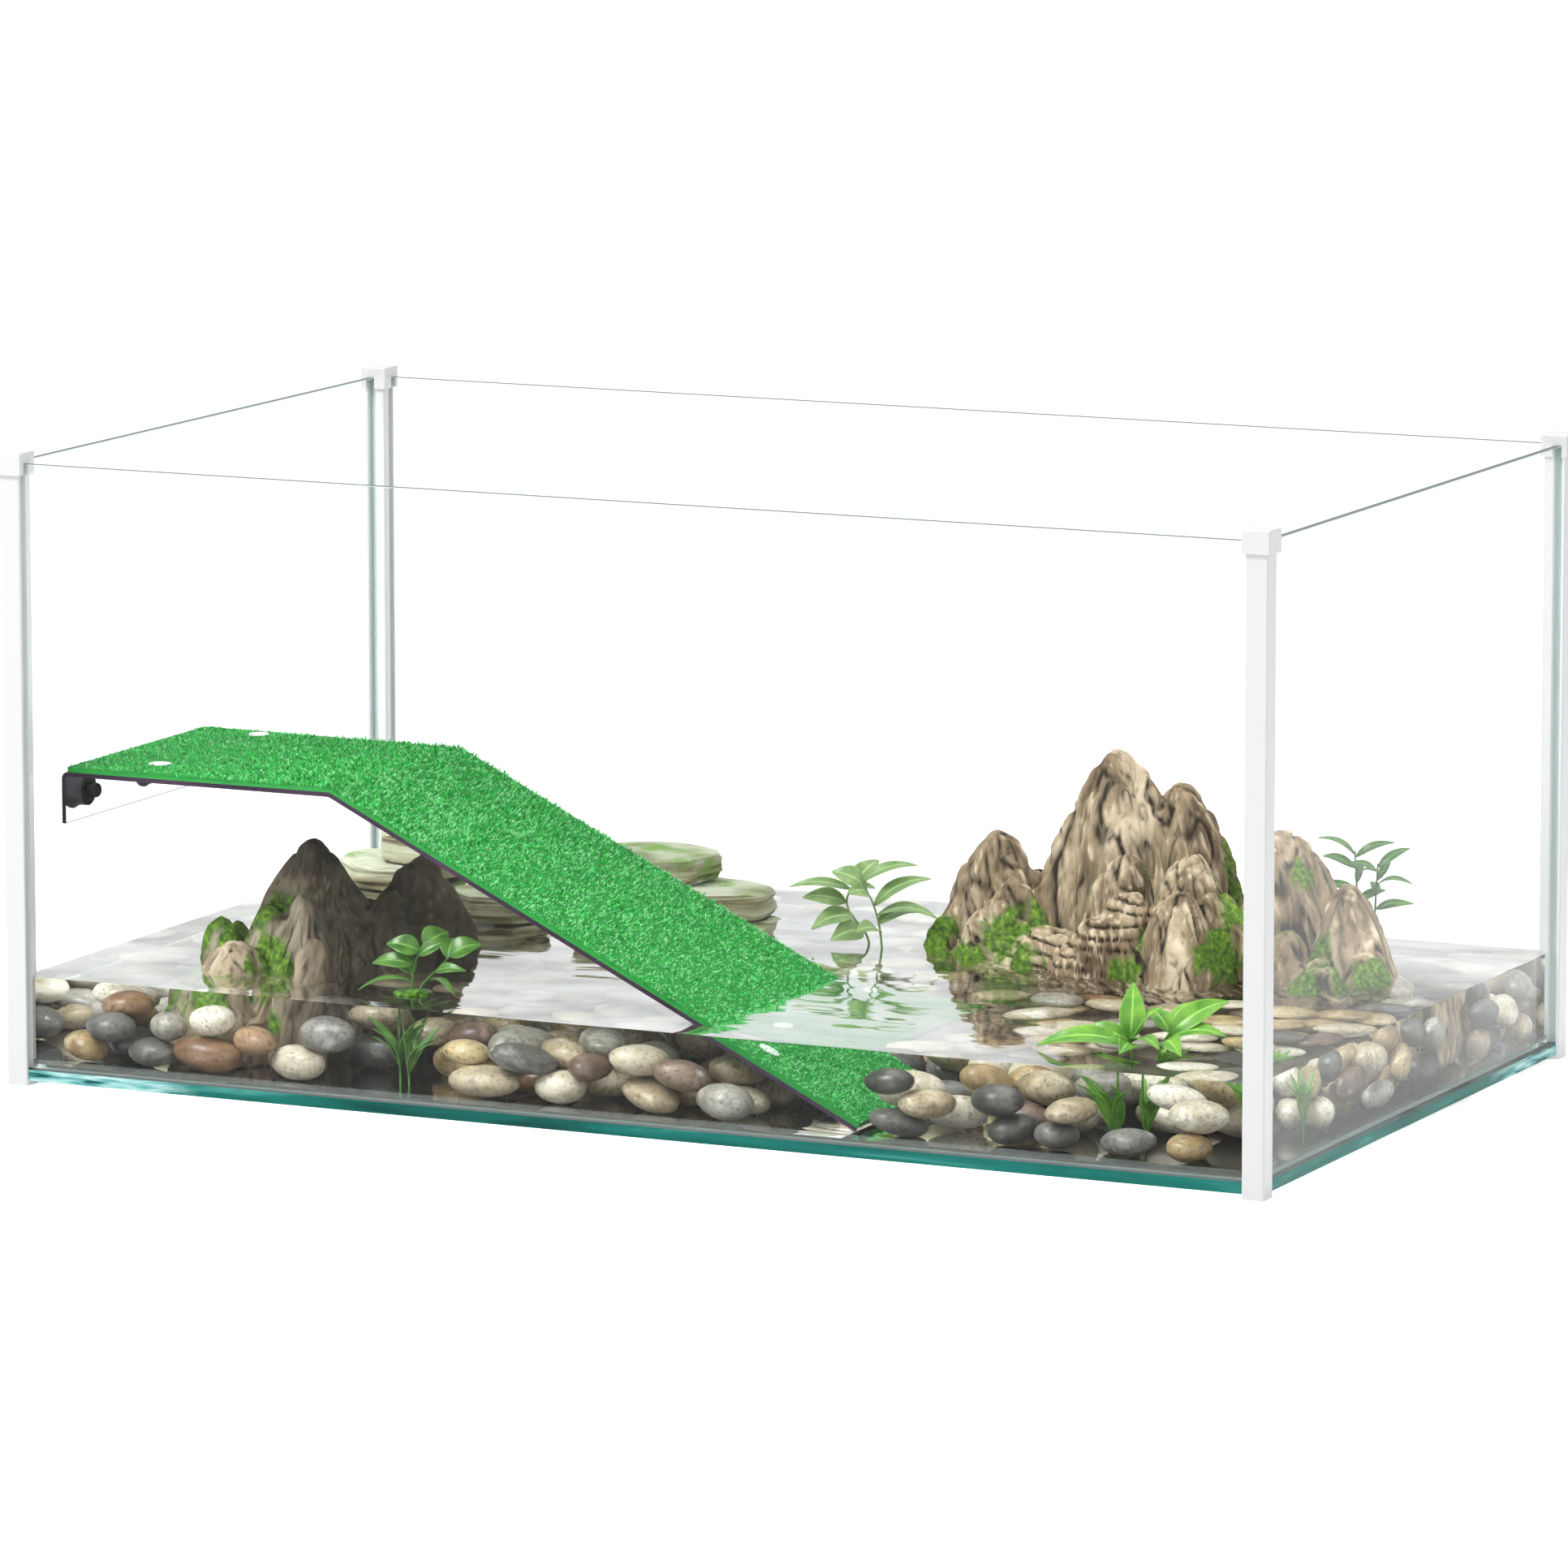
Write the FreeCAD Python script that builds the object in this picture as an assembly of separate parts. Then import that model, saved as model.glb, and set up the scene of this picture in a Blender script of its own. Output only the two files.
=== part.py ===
# Glass turtle tank, set up as it is used: five glass panes held by four slotted corner posts with
# caps, a bent clear ramp with a turf mat hung on two suction cups, and the landscape that stands in
# it: a dark substrate, a bed of river pebbles, two rock ornaments, a stack of slates, five plants
# and the still water. Millimetres. +X runs along the front to the right, +Y to the back, +Z up.
# The origin is on the floor, under the middle of the tank.
import FreeCAD
import Part
import Mesh

import math
import os
import random

# Tank
tank_length = 597.0          # over the outer faces of the posts, along X
tank_width = 351.0           # over the outer faces of the posts, along Y
tank_height = 280.0          # floor to the top of the caps
post_side = 10.0
post_wall = 1.4              # plastic left outside each pane
post_slot_depth = 3.2        # how far a pane enters a post
post_edge_radius = 0.8
pane_thickness = 4.0
pane_play = 0.1              # clearance on each side of a sheet of glass in its slot
pane_end_play = 0.2          # clearance at the end of a sheet of glass
pane_arris = 0.4             # ground edge of the glass rim
base_thickness = 5.0
foot_height = 2.0            # plastic under the base glass
cap_height = 10.0
cap_overhang = 1.5           # how far a cap stands proud of its post
cap_roof = 3.0
cap_notch_height = 5.0       # notch that lets a pane's top edge in
cap_play = 0.1
bead_leg = 4.0               # silicone fillet along the inner foot of the panes
bead_lip = 0.3
substrate_thickness = 2.0

# Ramp
plate_thickness = 2.0
turf_thickness = 2.4
ramp_width = 125.0
ramp_front_gap = 21.5        # from the front pane to the ramp's front edge
flange_height = 23.0
flange_stand_off = 8.5       # room for the suction cups between the left pane and the flange
platform_height = 136.0      # top of the plate above the floor
platform_length = 132.9      # from the flange to the bend
slope_angle = 26.1           # degrees below level
flange_bend_radius = 3.0
slope_bend_radius = 6.0
rivet_head_radius = 5.0
rivet_head_height = 0.8
rivet_shank_radius = 1.8
rivet_button_radius = 4.0
rivet_button_height = 1.2
rivet_hole_play = 0.15
rivet_inset_front = 24.0     # from the ramp's front edge to a rivet
rivet_inset_back = 10.0      # from the ramp's back edge to a rivet
platform_rivet_inset = 36.0  # from the flange to the platform's rivets
slope_rivet_inset = 56.0     # from the ramp's low end to the slope's rivets, along the slope
cup_radius = 8.8
cup_rim = 1.2
cup_hollow_depth = 2.6
cup_neck_radius = 2.5
cup_shoulder_radius = 7.0
cup_knob_radius = 3.3
cup_knob_length = 2.8
cup_shoulder_start = 0.72    # share of the way to the flange where the cup's back turns straight
cup_hole_play = 0.15
cup_play = 0.2               # between the flange and the cup's knob
pole_flat = 0.5              # radius of the flat spot at the middle of a turned dome
cup_drop = 11.5              # from the plate's top to the cups' axis
cup_inset_front = 24.0       # from the ramp's front edge to a cup's axis
cup_inset_back = 36.5        # from the ramp's back edge to a cup's axis

# Landscape
water_level = 48.0
water_wall_gap = 0.8         # plain water body to the panes
rest_gap = 0.05              # ornament to the substrate
pebble_gap = 0.25            # between neighbouring pebbles
pebble_crest = 43.0          # no pebble reaches above this level
pebble_length = 29.0
pebble_breadth = 22.0
pebble_depth = 15.0
pebble_smallest = 0.84       # size of the smallest and largest, for the mean
pebble_largest = 1.1
pebble_tilt = 7.0            # spread of the pebbles' tilt, degrees
pebble_spread = 35.0         # spread of their long axes about the tank's length, degrees
pebble_pitch = 1.13          # spacing of the places they are dropped at, in pebbles
pebble_layers = 2
pebble_edge_layers = 3       # within sight, along the front and right panes
pebble_edge_band = 45.0      # width of that band
pebble_sides = 6
pebble_row_angle = 43.0      # where its upper and lower ring of corners lie, degrees from the rim
pebble_tries = 16            # places tried for each pebble
pebble_scatter = 0.6         # how far from its place it may land, in pebbles
pebble_rim_points = 14       # points of its rim that are kept clear of the ornaments
pebble_seed = 41
contact_steps = 400          # refinements of the distance between two stones, at the most
contact_error = 0.02
stone_rise = 13.0            # thickness of a slate
stone_corners = 10
rock_blend = 0.30            # how sharply neighbouring peaks meet, per millimetre
rock_lip = 20.0              # height of a rock's edge at its foot, in among the pebbles
rock_search = 150.0          # no rock reaches further than this from its centre
rock_step = 1.0
rock_outline_points = 90
rock_clearance = 2.5         # between a rock's foot and the pebbles, in plan
pocket_gap = 0.5             # water body to what stands in it
slate_pocket_gap = 0.75      # the same for the slates
rock_pocket_gap = 3.0        # the same for the uneven rocks
rock_pocket_drop = 13.5      # their pockets follow the outline this far below the pebbles' crest
stem_radius = 0.9
stem_sides = 5
stem_pocket_sides = 12       # corners of the water's pocket round a stem
stem_room = 3.0              # pebbles keep this far from a stem
grass_room = 17.0            # and this far from one with grass at its foot
leaf_thickness = 0.8
tuft_radius = 9.5            # moss cushion at the water's surface
tuft_height = 4.0
tuft_sides = 9
layout_step = 1.0            # one step of height in the tables of peaks, stems and leaves
layout_count_x = 293         # steps from the middle to the end of the tank in those tables
layout_count_y = 170         # steps from the middle to its front or back

# Worked out
half_length = tank_length / 2
half_width = tank_width / 2
slot_width = pane_thickness + 2 * pane_play
pane_outside = post_wall + pane_play
pane_inside = pane_outside + pane_thickness
pane_reach = post_side - post_slot_depth + pane_end_play
inner_x = half_length - pane_inside
inner_y = half_width - pane_inside
base_top = foot_height + base_thickness
cap_bottom = tank_height - cap_height
pane_top = cap_bottom + cap_notch_height - pane_play
bed_level = base_top + substrate_thickness
ramp_front = -inner_y + ramp_front_gap
ramp_back = ramp_front + ramp_width
flange_x = -inner_x + flange_stand_off
bend_x = flange_x + platform_length
slope = math.radians(slope_angle)
plan_x = inner_x / layout_count_x
plan_y = inner_y / layout_count_y
corners = {
    "front_left": (-1, -1),
    "front_right": (1, -1),
    "back_left": (-1, 1),
    "back_right": (1, 1),
}
pebble_colours = {           # share of each colour in the bed
    "cream": 20,
    "ochre": 20,
    "sand": 16,
    "pale_grey": 14,
    "dark_grey": 14,
    "slate_blue": 7,
    "plum": 5,
    "russet": 4,
}
leaf_arch = 0.12             # rise of a leaf's arch for its length
vector = FreeCAD.Vector
parts = {}


def box_between(low, high):
    """Upright box from two opposite corners, given in any order."""
    first = vector(*[min(a, b) for a, b in zip(low, high)])
    size = [abs(b - a) for a, b in zip(low, high)]
    return Part.makeBox(*size, first)


def corner_box(side, u, v, z):
    """Box at one corner of the tank. u and v run inwards from the post's outer faces."""
    x = [side[0] * (half_length - d) for d in u]
    y = [side[1] * (half_width - d) for d in v]
    return box_between((x[0], y[0], z[0]), (x[1], y[1], z[1]))


def upright_edges(shape):
    """Edges that run along Z."""
    found = []
    for edge in shape.Edges:
        a, b = edge.Vertexes[0].Point, edge.Vertexes[-1].Point
        if abs(a.x - b.x) < 1e-6 and abs(a.y - b.y) < 1e-6:
            found.append(edge)
    return found


def edges_at_height(shape, z):
    """Edges that lie in the level plane z."""
    return [e for e in shape.Edges if all(abs(v.Point.z - z) < 1e-6 for v in e.Vertexes)]


def solid_of_triangles(points, triangles):
    """Closed solid with flat faces from points and triples of their numbers."""
    mesh = Mesh.Mesh([[tuple(points[i]) for i in t] for t in triangles])
    mesh.harmonizeNormals()
    shape = Part.Shape()
    shape.makeShapeFromMesh(mesh.Topology, 0.001)
    solid = Part.makeSolid(shape)
    if solid.Volume < 0:
        solid.reverse()
    return solid


# Glass box

def corner_post(side):
    """Square post with a slot for each pane and a pocket that holds the base's corner."""
    post_top = tank_height - cap_roof
    post = corner_box(side, (0, post_side), (0, post_side), (0, post_top))
    post = post.makeFillet(post_edge_radius, upright_edges(post))
    slot_end = post_side - post_slot_depth
    across = (post_wall, post_wall + slot_width)
    along = (slot_end, post_side + 1)
    tall = (base_top, post_top + 1)
    pocket = (post_wall, post_side + 1)
    pocket_rise = (foot_height, base_top + pane_play)
    return post.cut([
        corner_box(side, along, across, tall),
        corner_box(side, across, along, tall),
        corner_box(side, pocket, pocket, pocket_rise),
    ])


def post_cap(side):
    """Cap that drops over a post, with a notch for each pane."""
    ends = (-cap_overhang, post_side + cap_overhang)
    cap = corner_box(side, ends, ends, (cap_bottom, tank_height))
    cap = cap.makeFillet(post_edge_radius, upright_edges(cap) + edges_at_height(cap, tank_height))
    socket = (-cap_play, post_side + cap_play)
    notch = (post_wall, post_wall + slot_width)
    through = (post_side - 1, post_side + cap_overhang + 1)
    rise = (cap_bottom - 1, cap_bottom + cap_notch_height)
    return cap.cut([
        corner_box(side, socket, socket, (cap_bottom - 1, tank_height - cap_roof)),
        corner_box(side, through, notch, rise),
        corner_box(side, notch, through, rise),
    ])


def pane(x, y):
    """Upright sheet of glass with its top rim ground."""
    sheet = box_between((x[0], y[0], base_top), (x[1], y[1], pane_top))
    long_way = 0 if abs(x[1] - x[0]) > abs(y[1] - y[0]) else 1
    rim = []
    for edge in edges_at_height(sheet, pane_top):
        run = edge.Vertexes[1].Point - edge.Vertexes[0].Point
        if abs(run[long_way]) > pane_thickness * 2:
            rim.append(edge)
    return sheet.makeChamfer(pane_arris, rim)


def inner_outline(inset, z):
    """Inside of the tank at height z, stepped round the four posts and drawn in by inset."""
    post_x, post_y = half_length - post_side, half_width - post_side
    steps = [(post_x, inner_y), (post_x, post_y), (inner_x, post_y)]
    points = []
    for sx, sy, order in ((-1, -1, 1), (1, -1, -1), (1, 1, 1), (-1, 1, -1)):
        for x, y in (steps[::-1] if order == 1 else steps):
            points.append(vector(sx * (x - inset), sy * (y - inset), z))
    return Part.makePolygon(points + points[:1])


def prism(inset, low, high):
    return Part.Face(inner_outline(inset, low)).extrude(vector(0, 0, high - low))


def silicone_bead():
    """Hollow-faced fillet of silicone that seals the panes to the base."""
    ring = prism(0, base_top, base_top + bead_leg)
    levels = [
        (bead_leg, base_top - 0.5),
        (bead_leg, base_top),
        (0.3 * bead_leg, base_top + 0.3 * bead_leg),
        (bead_lip, base_top + bead_leg),
        (bead_lip, base_top + bead_leg + 0.5),
    ]
    inside = Part.makeLoft([inner_outline(inset, z) for inset, z in levels], True, True)
    return ring.cut(inside)


def make_glass_box():
    reach_x = half_length - pane_reach
    reach_y = half_width - pane_reach
    near, far = half_width - pane_outside, half_width - pane_inside
    side_out, side_in = half_length - pane_outside, half_length - pane_inside
    parts["front_pane"] = pane((-reach_x, reach_x), (-near, -far))
    parts["back_pane"] = pane((-reach_x, reach_x), (far, near))
    parts["left_pane"] = pane((-side_out, -side_in), (-reach_y, reach_y))
    parts["right_pane"] = pane((side_in, side_out), (-reach_y, reach_y))
    parts["base_pane"] = box_between((-side_out, -near, foot_height), (side_out, near, base_top))
    for name, side in corners.items():
        parts["corner_post_" + name] = corner_post(side)
        parts["post_cap_" + name] = post_cap(side)
    parts["silicone_bead"] = silicone_bead()
    parts["dark_substrate"] = prism(bead_leg + pane_play, base_top, bed_level)


# Ramp

ramp_end_z = bed_level + plate_thickness * math.cos(slope)
ramp_end_x = bend_x + (platform_height - ramp_end_z) / math.tan(slope)
slope_run = vector(math.cos(slope), 0, -math.sin(slope))
slope_normal = vector(math.sin(slope), 0, math.cos(slope))


def turned(corner, way_in, way_out, radius):
    """Start, middle and end of the arc that rounds a corner between two directions."""
    turn = way_in.getAngle(way_out)
    back = radius * math.tan(turn / 2)
    inward = (way_out - way_in).normalize()
    start = corner - way_in * back
    end = corner + way_out * back
    centre = corner + inward * (radius / math.cos(turn / 2))
    middle = centre - inward * radius
    return start, middle, end


def ramp_line(offset, with_flange):
    """Side view of the ramp at a distance above the plate's top face, as edges with rounded bends."""
    up, along = vector(0, 0, 1), vector(1, 0, 0)
    corner = vector(flange_x - offset, 0, platform_height + offset)
    bend = vector(bend_x + offset * math.tan(slope / 2), 0, platform_height + offset)
    end = vector(ramp_end_x, 0, ramp_end_z) + slope_normal * offset
    start, middle, stop = turned(bend, along, slope_run, slope_bend_radius + offset)
    edges = []
    if with_flange:
        foot = vector(flange_x - offset, 0, platform_height - flange_height)
        a, b, c = turned(corner, up, along, flange_bend_radius + offset)
        edges += [Part.LineSegment(foot, a).toShape(), Part.Arc(a, b, c).toShape()]
        first = c
    else:
        first = vector(flange_x + flange_bend_radius, 0, platform_height + offset)
    edges.append(Part.LineSegment(first, start).toShape())
    edges.append(Part.Arc(start, middle, stop).toShape())
    edges.append(Part.LineSegment(stop, end).toShape())
    return edges


def bent_strip(low, high, with_flange):
    """Bent sheet between two distances above the plate's top face."""
    lower, upper = ramp_line(low, with_flange), ramp_line(high, with_flange)
    ends = []
    for number in (0, -1):
        a = lower[number].Vertexes[number].Point
        b = upper[number].Vertexes[number].Point
        ends.append(Part.LineSegment(a, b).toShape())
    wire = Part.Wire(Part.__sortEdges__(lower + upper + ends))
    face = Part.Face(wire)
    face.translate(vector(0, ramp_front, 0))
    return face.extrude(vector(0, ramp_width, 0))


def rivet_seats():
    """Points on the plate's top face that carry a rivet, each with the face's normal."""
    low = vector(ramp_end_x, 0, ramp_end_z) - slope_run * slope_rivet_inset
    high = vector(flange_x + platform_rivet_inset, 0, platform_height)
    seats = []
    for point, normal in ((high, vector(0, 0, 1)), (low, slope_normal)):
        for y in (ramp_front + rivet_inset_front, ramp_back - rivet_inset_back):
            seats.append((vector(point.x, y, point.z), normal))
    return seats


def cup_axes():
    """Where the two suction cups' axes meet the left pane."""
    z = platform_height - cup_drop
    return [vector(-inner_x, y, z) for y in (ramp_front + cup_inset_front, ramp_back - cup_inset_back)]


def turned_piece(outline):
    """Solid of revolution about Z from edges in the XZ plane, closed along the axis."""
    return Part.Face(Part.Wire(outline)).revolve(vector(0, 0, 0), vector(0, 0, 1), 360)


def polyline(points):
    return Part.makePolygon([vector(*p) for p in points])


def placed(shape, point, direction):
    """A copy of a shape made along Z, moved to a point and turned to a direction."""
    copy = shape.copy()
    turn = FreeCAD.Rotation(vector(0, 0, 1), direction)
    copy.Placement = FreeCAD.Placement(point, turn)
    return copy


def rivet():
    """Snap rivet: domed head on the turf, shank, and button under the plate."""
    under, top = -plate_thickness, turf_thickness
    crown = top + rivet_head_height
    edge = top + 0.35 * rivet_head_height
    dome_mid = vector(0.62 * rivet_head_radius, 0, top + 0.82 * rivet_head_height)
    dome = Part.Arc(vector(rivet_head_radius, 0, edge), dome_mid, vector(pole_flat, 0, crown))
    foot = under - rivet_button_height
    lower = polyline([
        (pole_flat, 0, crown), (0, 0, crown), (0, 0, foot), (rivet_button_radius - 0.4, 0, foot),
        (rivet_button_radius, 0, foot + 0.4), (rivet_button_radius, 0, under),
        (rivet_shank_radius, 0, under), (rivet_shank_radius, 0, top),
        (rivet_head_radius, 0, top), (rivet_head_radius, 0, edge),
    ])
    return turned_piece(lower.Edges + [dome.toShape()])


def suction_cup():
    """Rubber cup whose neck passes through the flange and ends in a round knob."""
    flange_far = flange_stand_off + plate_thickness
    shoulder = flange_stand_off
    knob_start = flange_far + cup_play
    knob_end = knob_start + cup_knob_length
    hollow = Part.Arc(
        vector(cup_radius - cup_rim, 0, 0),
        vector(0.55 * cup_radius, 0, 0.72 * cup_hollow_depth),
        vector(pole_flat, 0, cup_hollow_depth),
    ).toShape()
    back = Part.Arc(
        vector(cup_radius, 0, cup_rim),
        vector(0.84 * cup_radius, 0, 0.42 * shoulder),
        vector(cup_shoulder_radius, 0, cup_shoulder_start * shoulder),
    ).toShape()
    knob = Part.Arc(
        vector(cup_neck_radius, 0, knob_start),
        vector(cup_knob_radius, 0, (knob_start + knob_end) / 2),
        vector(pole_flat, 0, knob_end),
    ).toShape()
    rim = polyline([(cup_radius - cup_rim, 0, 0), (cup_radius, 0, 0), (cup_radius, 0, cup_rim)])
    neck = polyline([
        (cup_shoulder_radius, 0, cup_shoulder_start * shoulder), (cup_shoulder_radius, 0, shoulder),
        (cup_neck_radius, 0, shoulder), (cup_neck_radius, 0, knob_start),
    ])
    axis = polyline([
        (pole_flat, 0, knob_end), (0, 0, knob_end),
        (0, 0, cup_hollow_depth), (pole_flat, 0, cup_hollow_depth),
    ])
    edges = [hollow] + rim.Edges + [back] + neck.Edges + [knob] + axis.Edges
    return turned_piece(Part.__sortEdges__(edges))


def make_ramp():
    seats = rivet_seats()
    hole = rivet_shank_radius + rivet_hole_play
    reach = plate_thickness + turf_thickness + 2
    drills = [
        Part.makeCylinder(hole, 2 * reach, point - normal * reach, normal) for point, normal in seats
    ]
    cup_hole = cup_neck_radius + cup_hole_play
    cup_drills = [
        Part.makeCylinder(cup_hole, 2 * flange_stand_off, point + vector(1, 0, 0), vector(1, 0, 0))
        for point in cup_axes()
    ]
    parts["ramp_plate"] = bent_strip(-plate_thickness, 0, True).cut(drills + cup_drills)
    parts["turf_mat"] = bent_strip(0, turf_thickness, False).cut(drills)
    for number, (point, normal) in enumerate(seats, 1):
        parts[f"turf_rivet_{number}"] = placed(rivet(), point, normal)
    for name, point in zip(("front", "back"), cup_axes()):
        parts["suction_cup_" + name] = placed(suction_cup(), point, vector(1, 0, 0))


# Landscape

def solid_of_rings(rings):
    """Solid with flat faces through rings of points. A ring of one point is a tip."""
    points, numbers = [], []
    for ring in rings:
        numbers.append(list(range(len(points), len(points) + len(ring))))
        points += ring
    triangles = []
    for lower, upper in zip(numbers, numbers[1:]):
        count = max(len(lower), len(upper))
        for k in range(count):
            a, b = lower[k % len(lower)], lower[(k + 1) % len(lower)]
            c, d = upper[k % len(upper)], upper[(k + 1) % len(upper)]
            if len(lower) == 1:
                triangles.append((b, d, c))
            elif len(upper) == 1:
                triangles.append((a, b, c))
            elif math.dist(points[a], points[d]) < math.dist(points[b], points[c]):
                triangles += [(a, b, d), (a, d, c)]
            else:
                triangles += [(a, b, c), (b, d, c)]
    for ring, order in ((numbers[0], -1), (numbers[-1], 1)):
        for k in range(1, len(ring) - 1):
            triangles.append((ring[0], ring[k], ring[k + 1])[::order])
    return solid_of_triangles(points, triangles)


def laid_out(x, y):
    """A place of the layout tables in the tank."""
    return x * plan_x, y * plan_y


class Crag:
    """One peak of a rock ornament, in layout steps."""

    def __init__(self, x, y, top, width, sharpness=1.7, stretch=1.0, heading=0.0):
        self.x, self.y, self.top = x, y, top
        self.width, self.sharpness = width, sharpness
        self.stretch, self.heading = stretch, math.radians(heading)
        self.phase = 0.07 * x + 0.11 * y

    def rise(self, x, y, floor):
        """Height of this peak's own cone above the floor, with flutes that run down its flanks."""
        turn = math.atan2(y - self.y, x - self.x) - self.heading
        flute = 1 + 0.12 * math.cos(3 * turn + self.phase) + 0.07 * math.cos(8 * turn - self.phase)
        oval = math.hypot(math.cos(turn) / self.stretch, math.sin(turn) * self.stretch)
        reach = math.hypot(x - self.x, y - self.y) * oval / (self.width * flute)
        return (self.top - floor) * math.exp(-reach ** self.sharpness)


class Rock:
    """Cast rock ornament: peaks that run into one another over a common foot."""

    def __init__(self, centre, crags, lines):
        self.centre, self.crags, self.lines = centre, crags, lines

    def height(self, x, y):
        """Level of the surface over a place of the layout."""
        floor = bed_level / layout_step
        total = sum(math.exp(rock_blend * c.rise(x, y, floor)) - 1 for c in self.crags)
        return bed_level + math.log(1 + total) / rock_blend * layout_step

    def reach(self, turn, level):
        """Distance from the centre, along a direction, to where the flank falls to a level."""
        distance = rock_search
        while distance > rock_step:
            x = self.centre[0] + distance * math.cos(turn)
            y = self.centre[1] + distance * math.sin(turn)
            if self.height(x, y) > level:
                break
            distance -= rock_step
        return distance

    def outline(self, level, margin, count):
        points = []
        for k in range(count):
            turn = 2 * math.pi * k / count
            distance = self.reach(turn, level)
            x, y = laid_out(
                self.centre[0] + distance * math.cos(turn),
                self.centre[1] + distance * math.sin(turn))
            points.append((x + margin * math.cos(turn), y + margin * math.sin(turn)))
        return points

    def solid(self):
        """Grid of points spread over the foot and lifted to the surface, closed by a flat base."""
        nx, ny = self.lines
        foot = bed_level + rest_gap
        points, triangles = [], []
        for j in range(ny):
            for i in range(nx):
                u, v = 2 * i / (nx - 1) - 1, 2 * j / (ny - 1) - 1
                a, b = u * math.sqrt(1 - v * v / 2), v * math.sqrt(1 - u * u / 2)
                turn = math.atan2(b, a)
                distance = math.hypot(a, b) * self.reach(turn, bed_level + rock_lip)
                x = self.centre[0] + distance * math.cos(turn)
                y = self.centre[1] + distance * math.sin(turn)
                points.append((*laid_out(x, y), self.height(x, y)))
        for j in range(ny - 1):
            for i in range(nx - 1):
                a, b, c, d = (j * nx + i, j * nx + i + 1, (j + 1) * nx + i + 1, (j + 1) * nx + i)
                triangles += [(a, b, c), (a, c, d)] if (i + j) % 2 else [(a, b, d), (b, c, d)]
        rim = list(range(nx))
        rim += [j * nx + nx - 1 for j in range(1, ny)]
        rim += [(ny - 1) * nx + i for i in range(nx - 2, -1, -1)]
        rim += [j * nx for j in range(ny - 2, 0, -1)]
        below = len(points)
        points += [(points[n][0], points[n][1], foot) for n in rim]
        middle = len(points)
        points.append((*laid_out(*self.centre), foot))
        for k, n in enumerate(rim):
            after = (k + 1) % len(rim)
            triangles += [(n, below + k, rim[after]), (rim[after], below + k, below + after)]
            triangles.append((below + after, below + k, middle))
        return solid_of_triangles(points, triangles)


class Slate:
    """Flat, chipped stone. Its outline is an uneven oval."""

    def __init__(self, x, y, long_radius, short_radius, heading, level, seed):
        self.x, self.y, self.level, self.seed = x, y, level, seed
        self.long_radius, self.short_radius = long_radius, short_radius
        self.heading = math.radians(heading)
        self.bottom = bed_level + rest_gap + level * (stone_rise + rest_gap)

    def outline(self, swell):
        rng = random.Random(self.seed)
        points = []
        for k in range(stone_corners):
            turn = 2 * math.pi * (k + rng.uniform(-0.25, 0.25)) / stone_corners
            size = swell * rng.uniform(0.86, 1.0)
            a = self.long_radius * size * math.cos(turn)
            b = self.short_radius * size * math.sin(turn)
            cos, sin = math.cos(self.heading), math.sin(self.heading)
            points.append(laid_out(self.x + a * cos - b * sin, self.y + a * sin + b * cos))
        return points

    def solid(self):
        """Split faces above and below, with a rough edge that bulges between them."""
        profile = ((0, 0.93), (0.3, 1.0), (0.62, 0.965), (0.8, 0.985), (1, 0.92))
        rings = []
        for share, swell in profile:
            z = self.bottom + share * stone_rise
            rings.append([(x, y, z) for x, y in self.outline(swell)])
        return solid_of_rings(rings)


def inside(outline, x, y):
    """Whether a point lies inside a closed outline."""
    hit = False
    for (ax, ay), (bx, by) in zip(outline, outline[1:] + outline[:1]):
        if (ay > y) != (by > y) and x < ax + (y - ay) * (bx - ax) / (by - ay):
            hit = not hit
    return hit


class Pebble:
    """Water-worn stone: a faceted ellipsoid, turned and a little tilted."""

    def __init__(self, rng, colour, scale):
        stretch = rng.uniform(0.86, 1.22)
        self.colour = colour
        self.a = pebble_length / 2 * scale * stretch
        self.b = pebble_breadth / 2 * scale * rng.uniform(0.9, 1.1)
        self.c = pebble_depth / 2 * scale * rng.uniform(0.88, 1.14)
        self.turn = math.radians(rng.gauss(0, pebble_spread))
        self.tilt = math.radians(rng.gauss(0, pebble_tilt))
        self.x = self.y = self.z = 0.0

    def half_width(self, direction):
        """How far it reaches from its middle in plan, along a direction."""
        angle = direction - self.turn
        return math.hypot(self.a * math.cos(angle), self.b * math.sin(angle))

    def rings(self):
        """Its points, from the lowest tip to the highest."""
        cos_tilt, sin_tilt = math.cos(self.tilt), math.sin(self.tilt)
        cos_turn, sin_turn = math.cos(self.turn), math.sin(self.turn)
        rings = []
        for row, lift in enumerate((-90, -pebble_row_angle, 0, pebble_row_angle, 90)):
            rise = math.radians(lift)
            count = 1 if abs(lift) == 90 else pebble_sides
            ring = []
            for k in range(count):
                angle = 2 * math.pi * (k + 0.5 * (row % 2)) / pebble_sides
                u = self.a * math.cos(rise) * math.cos(angle)
                v = self.b * math.cos(rise) * math.sin(angle)
                w = self.c * math.sin(rise)
                u, w = u * cos_tilt - w * sin_tilt, u * sin_tilt + w * cos_tilt
                ring.append((
                    self.x + u * cos_turn - v * sin_turn,
                    self.y + u * sin_turn + v * cos_turn,
                    self.z + w,
                ))
            rings.append(ring)
        return rings

    def points(self):
        return [point for ring in self.rings() for point in ring]


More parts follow.
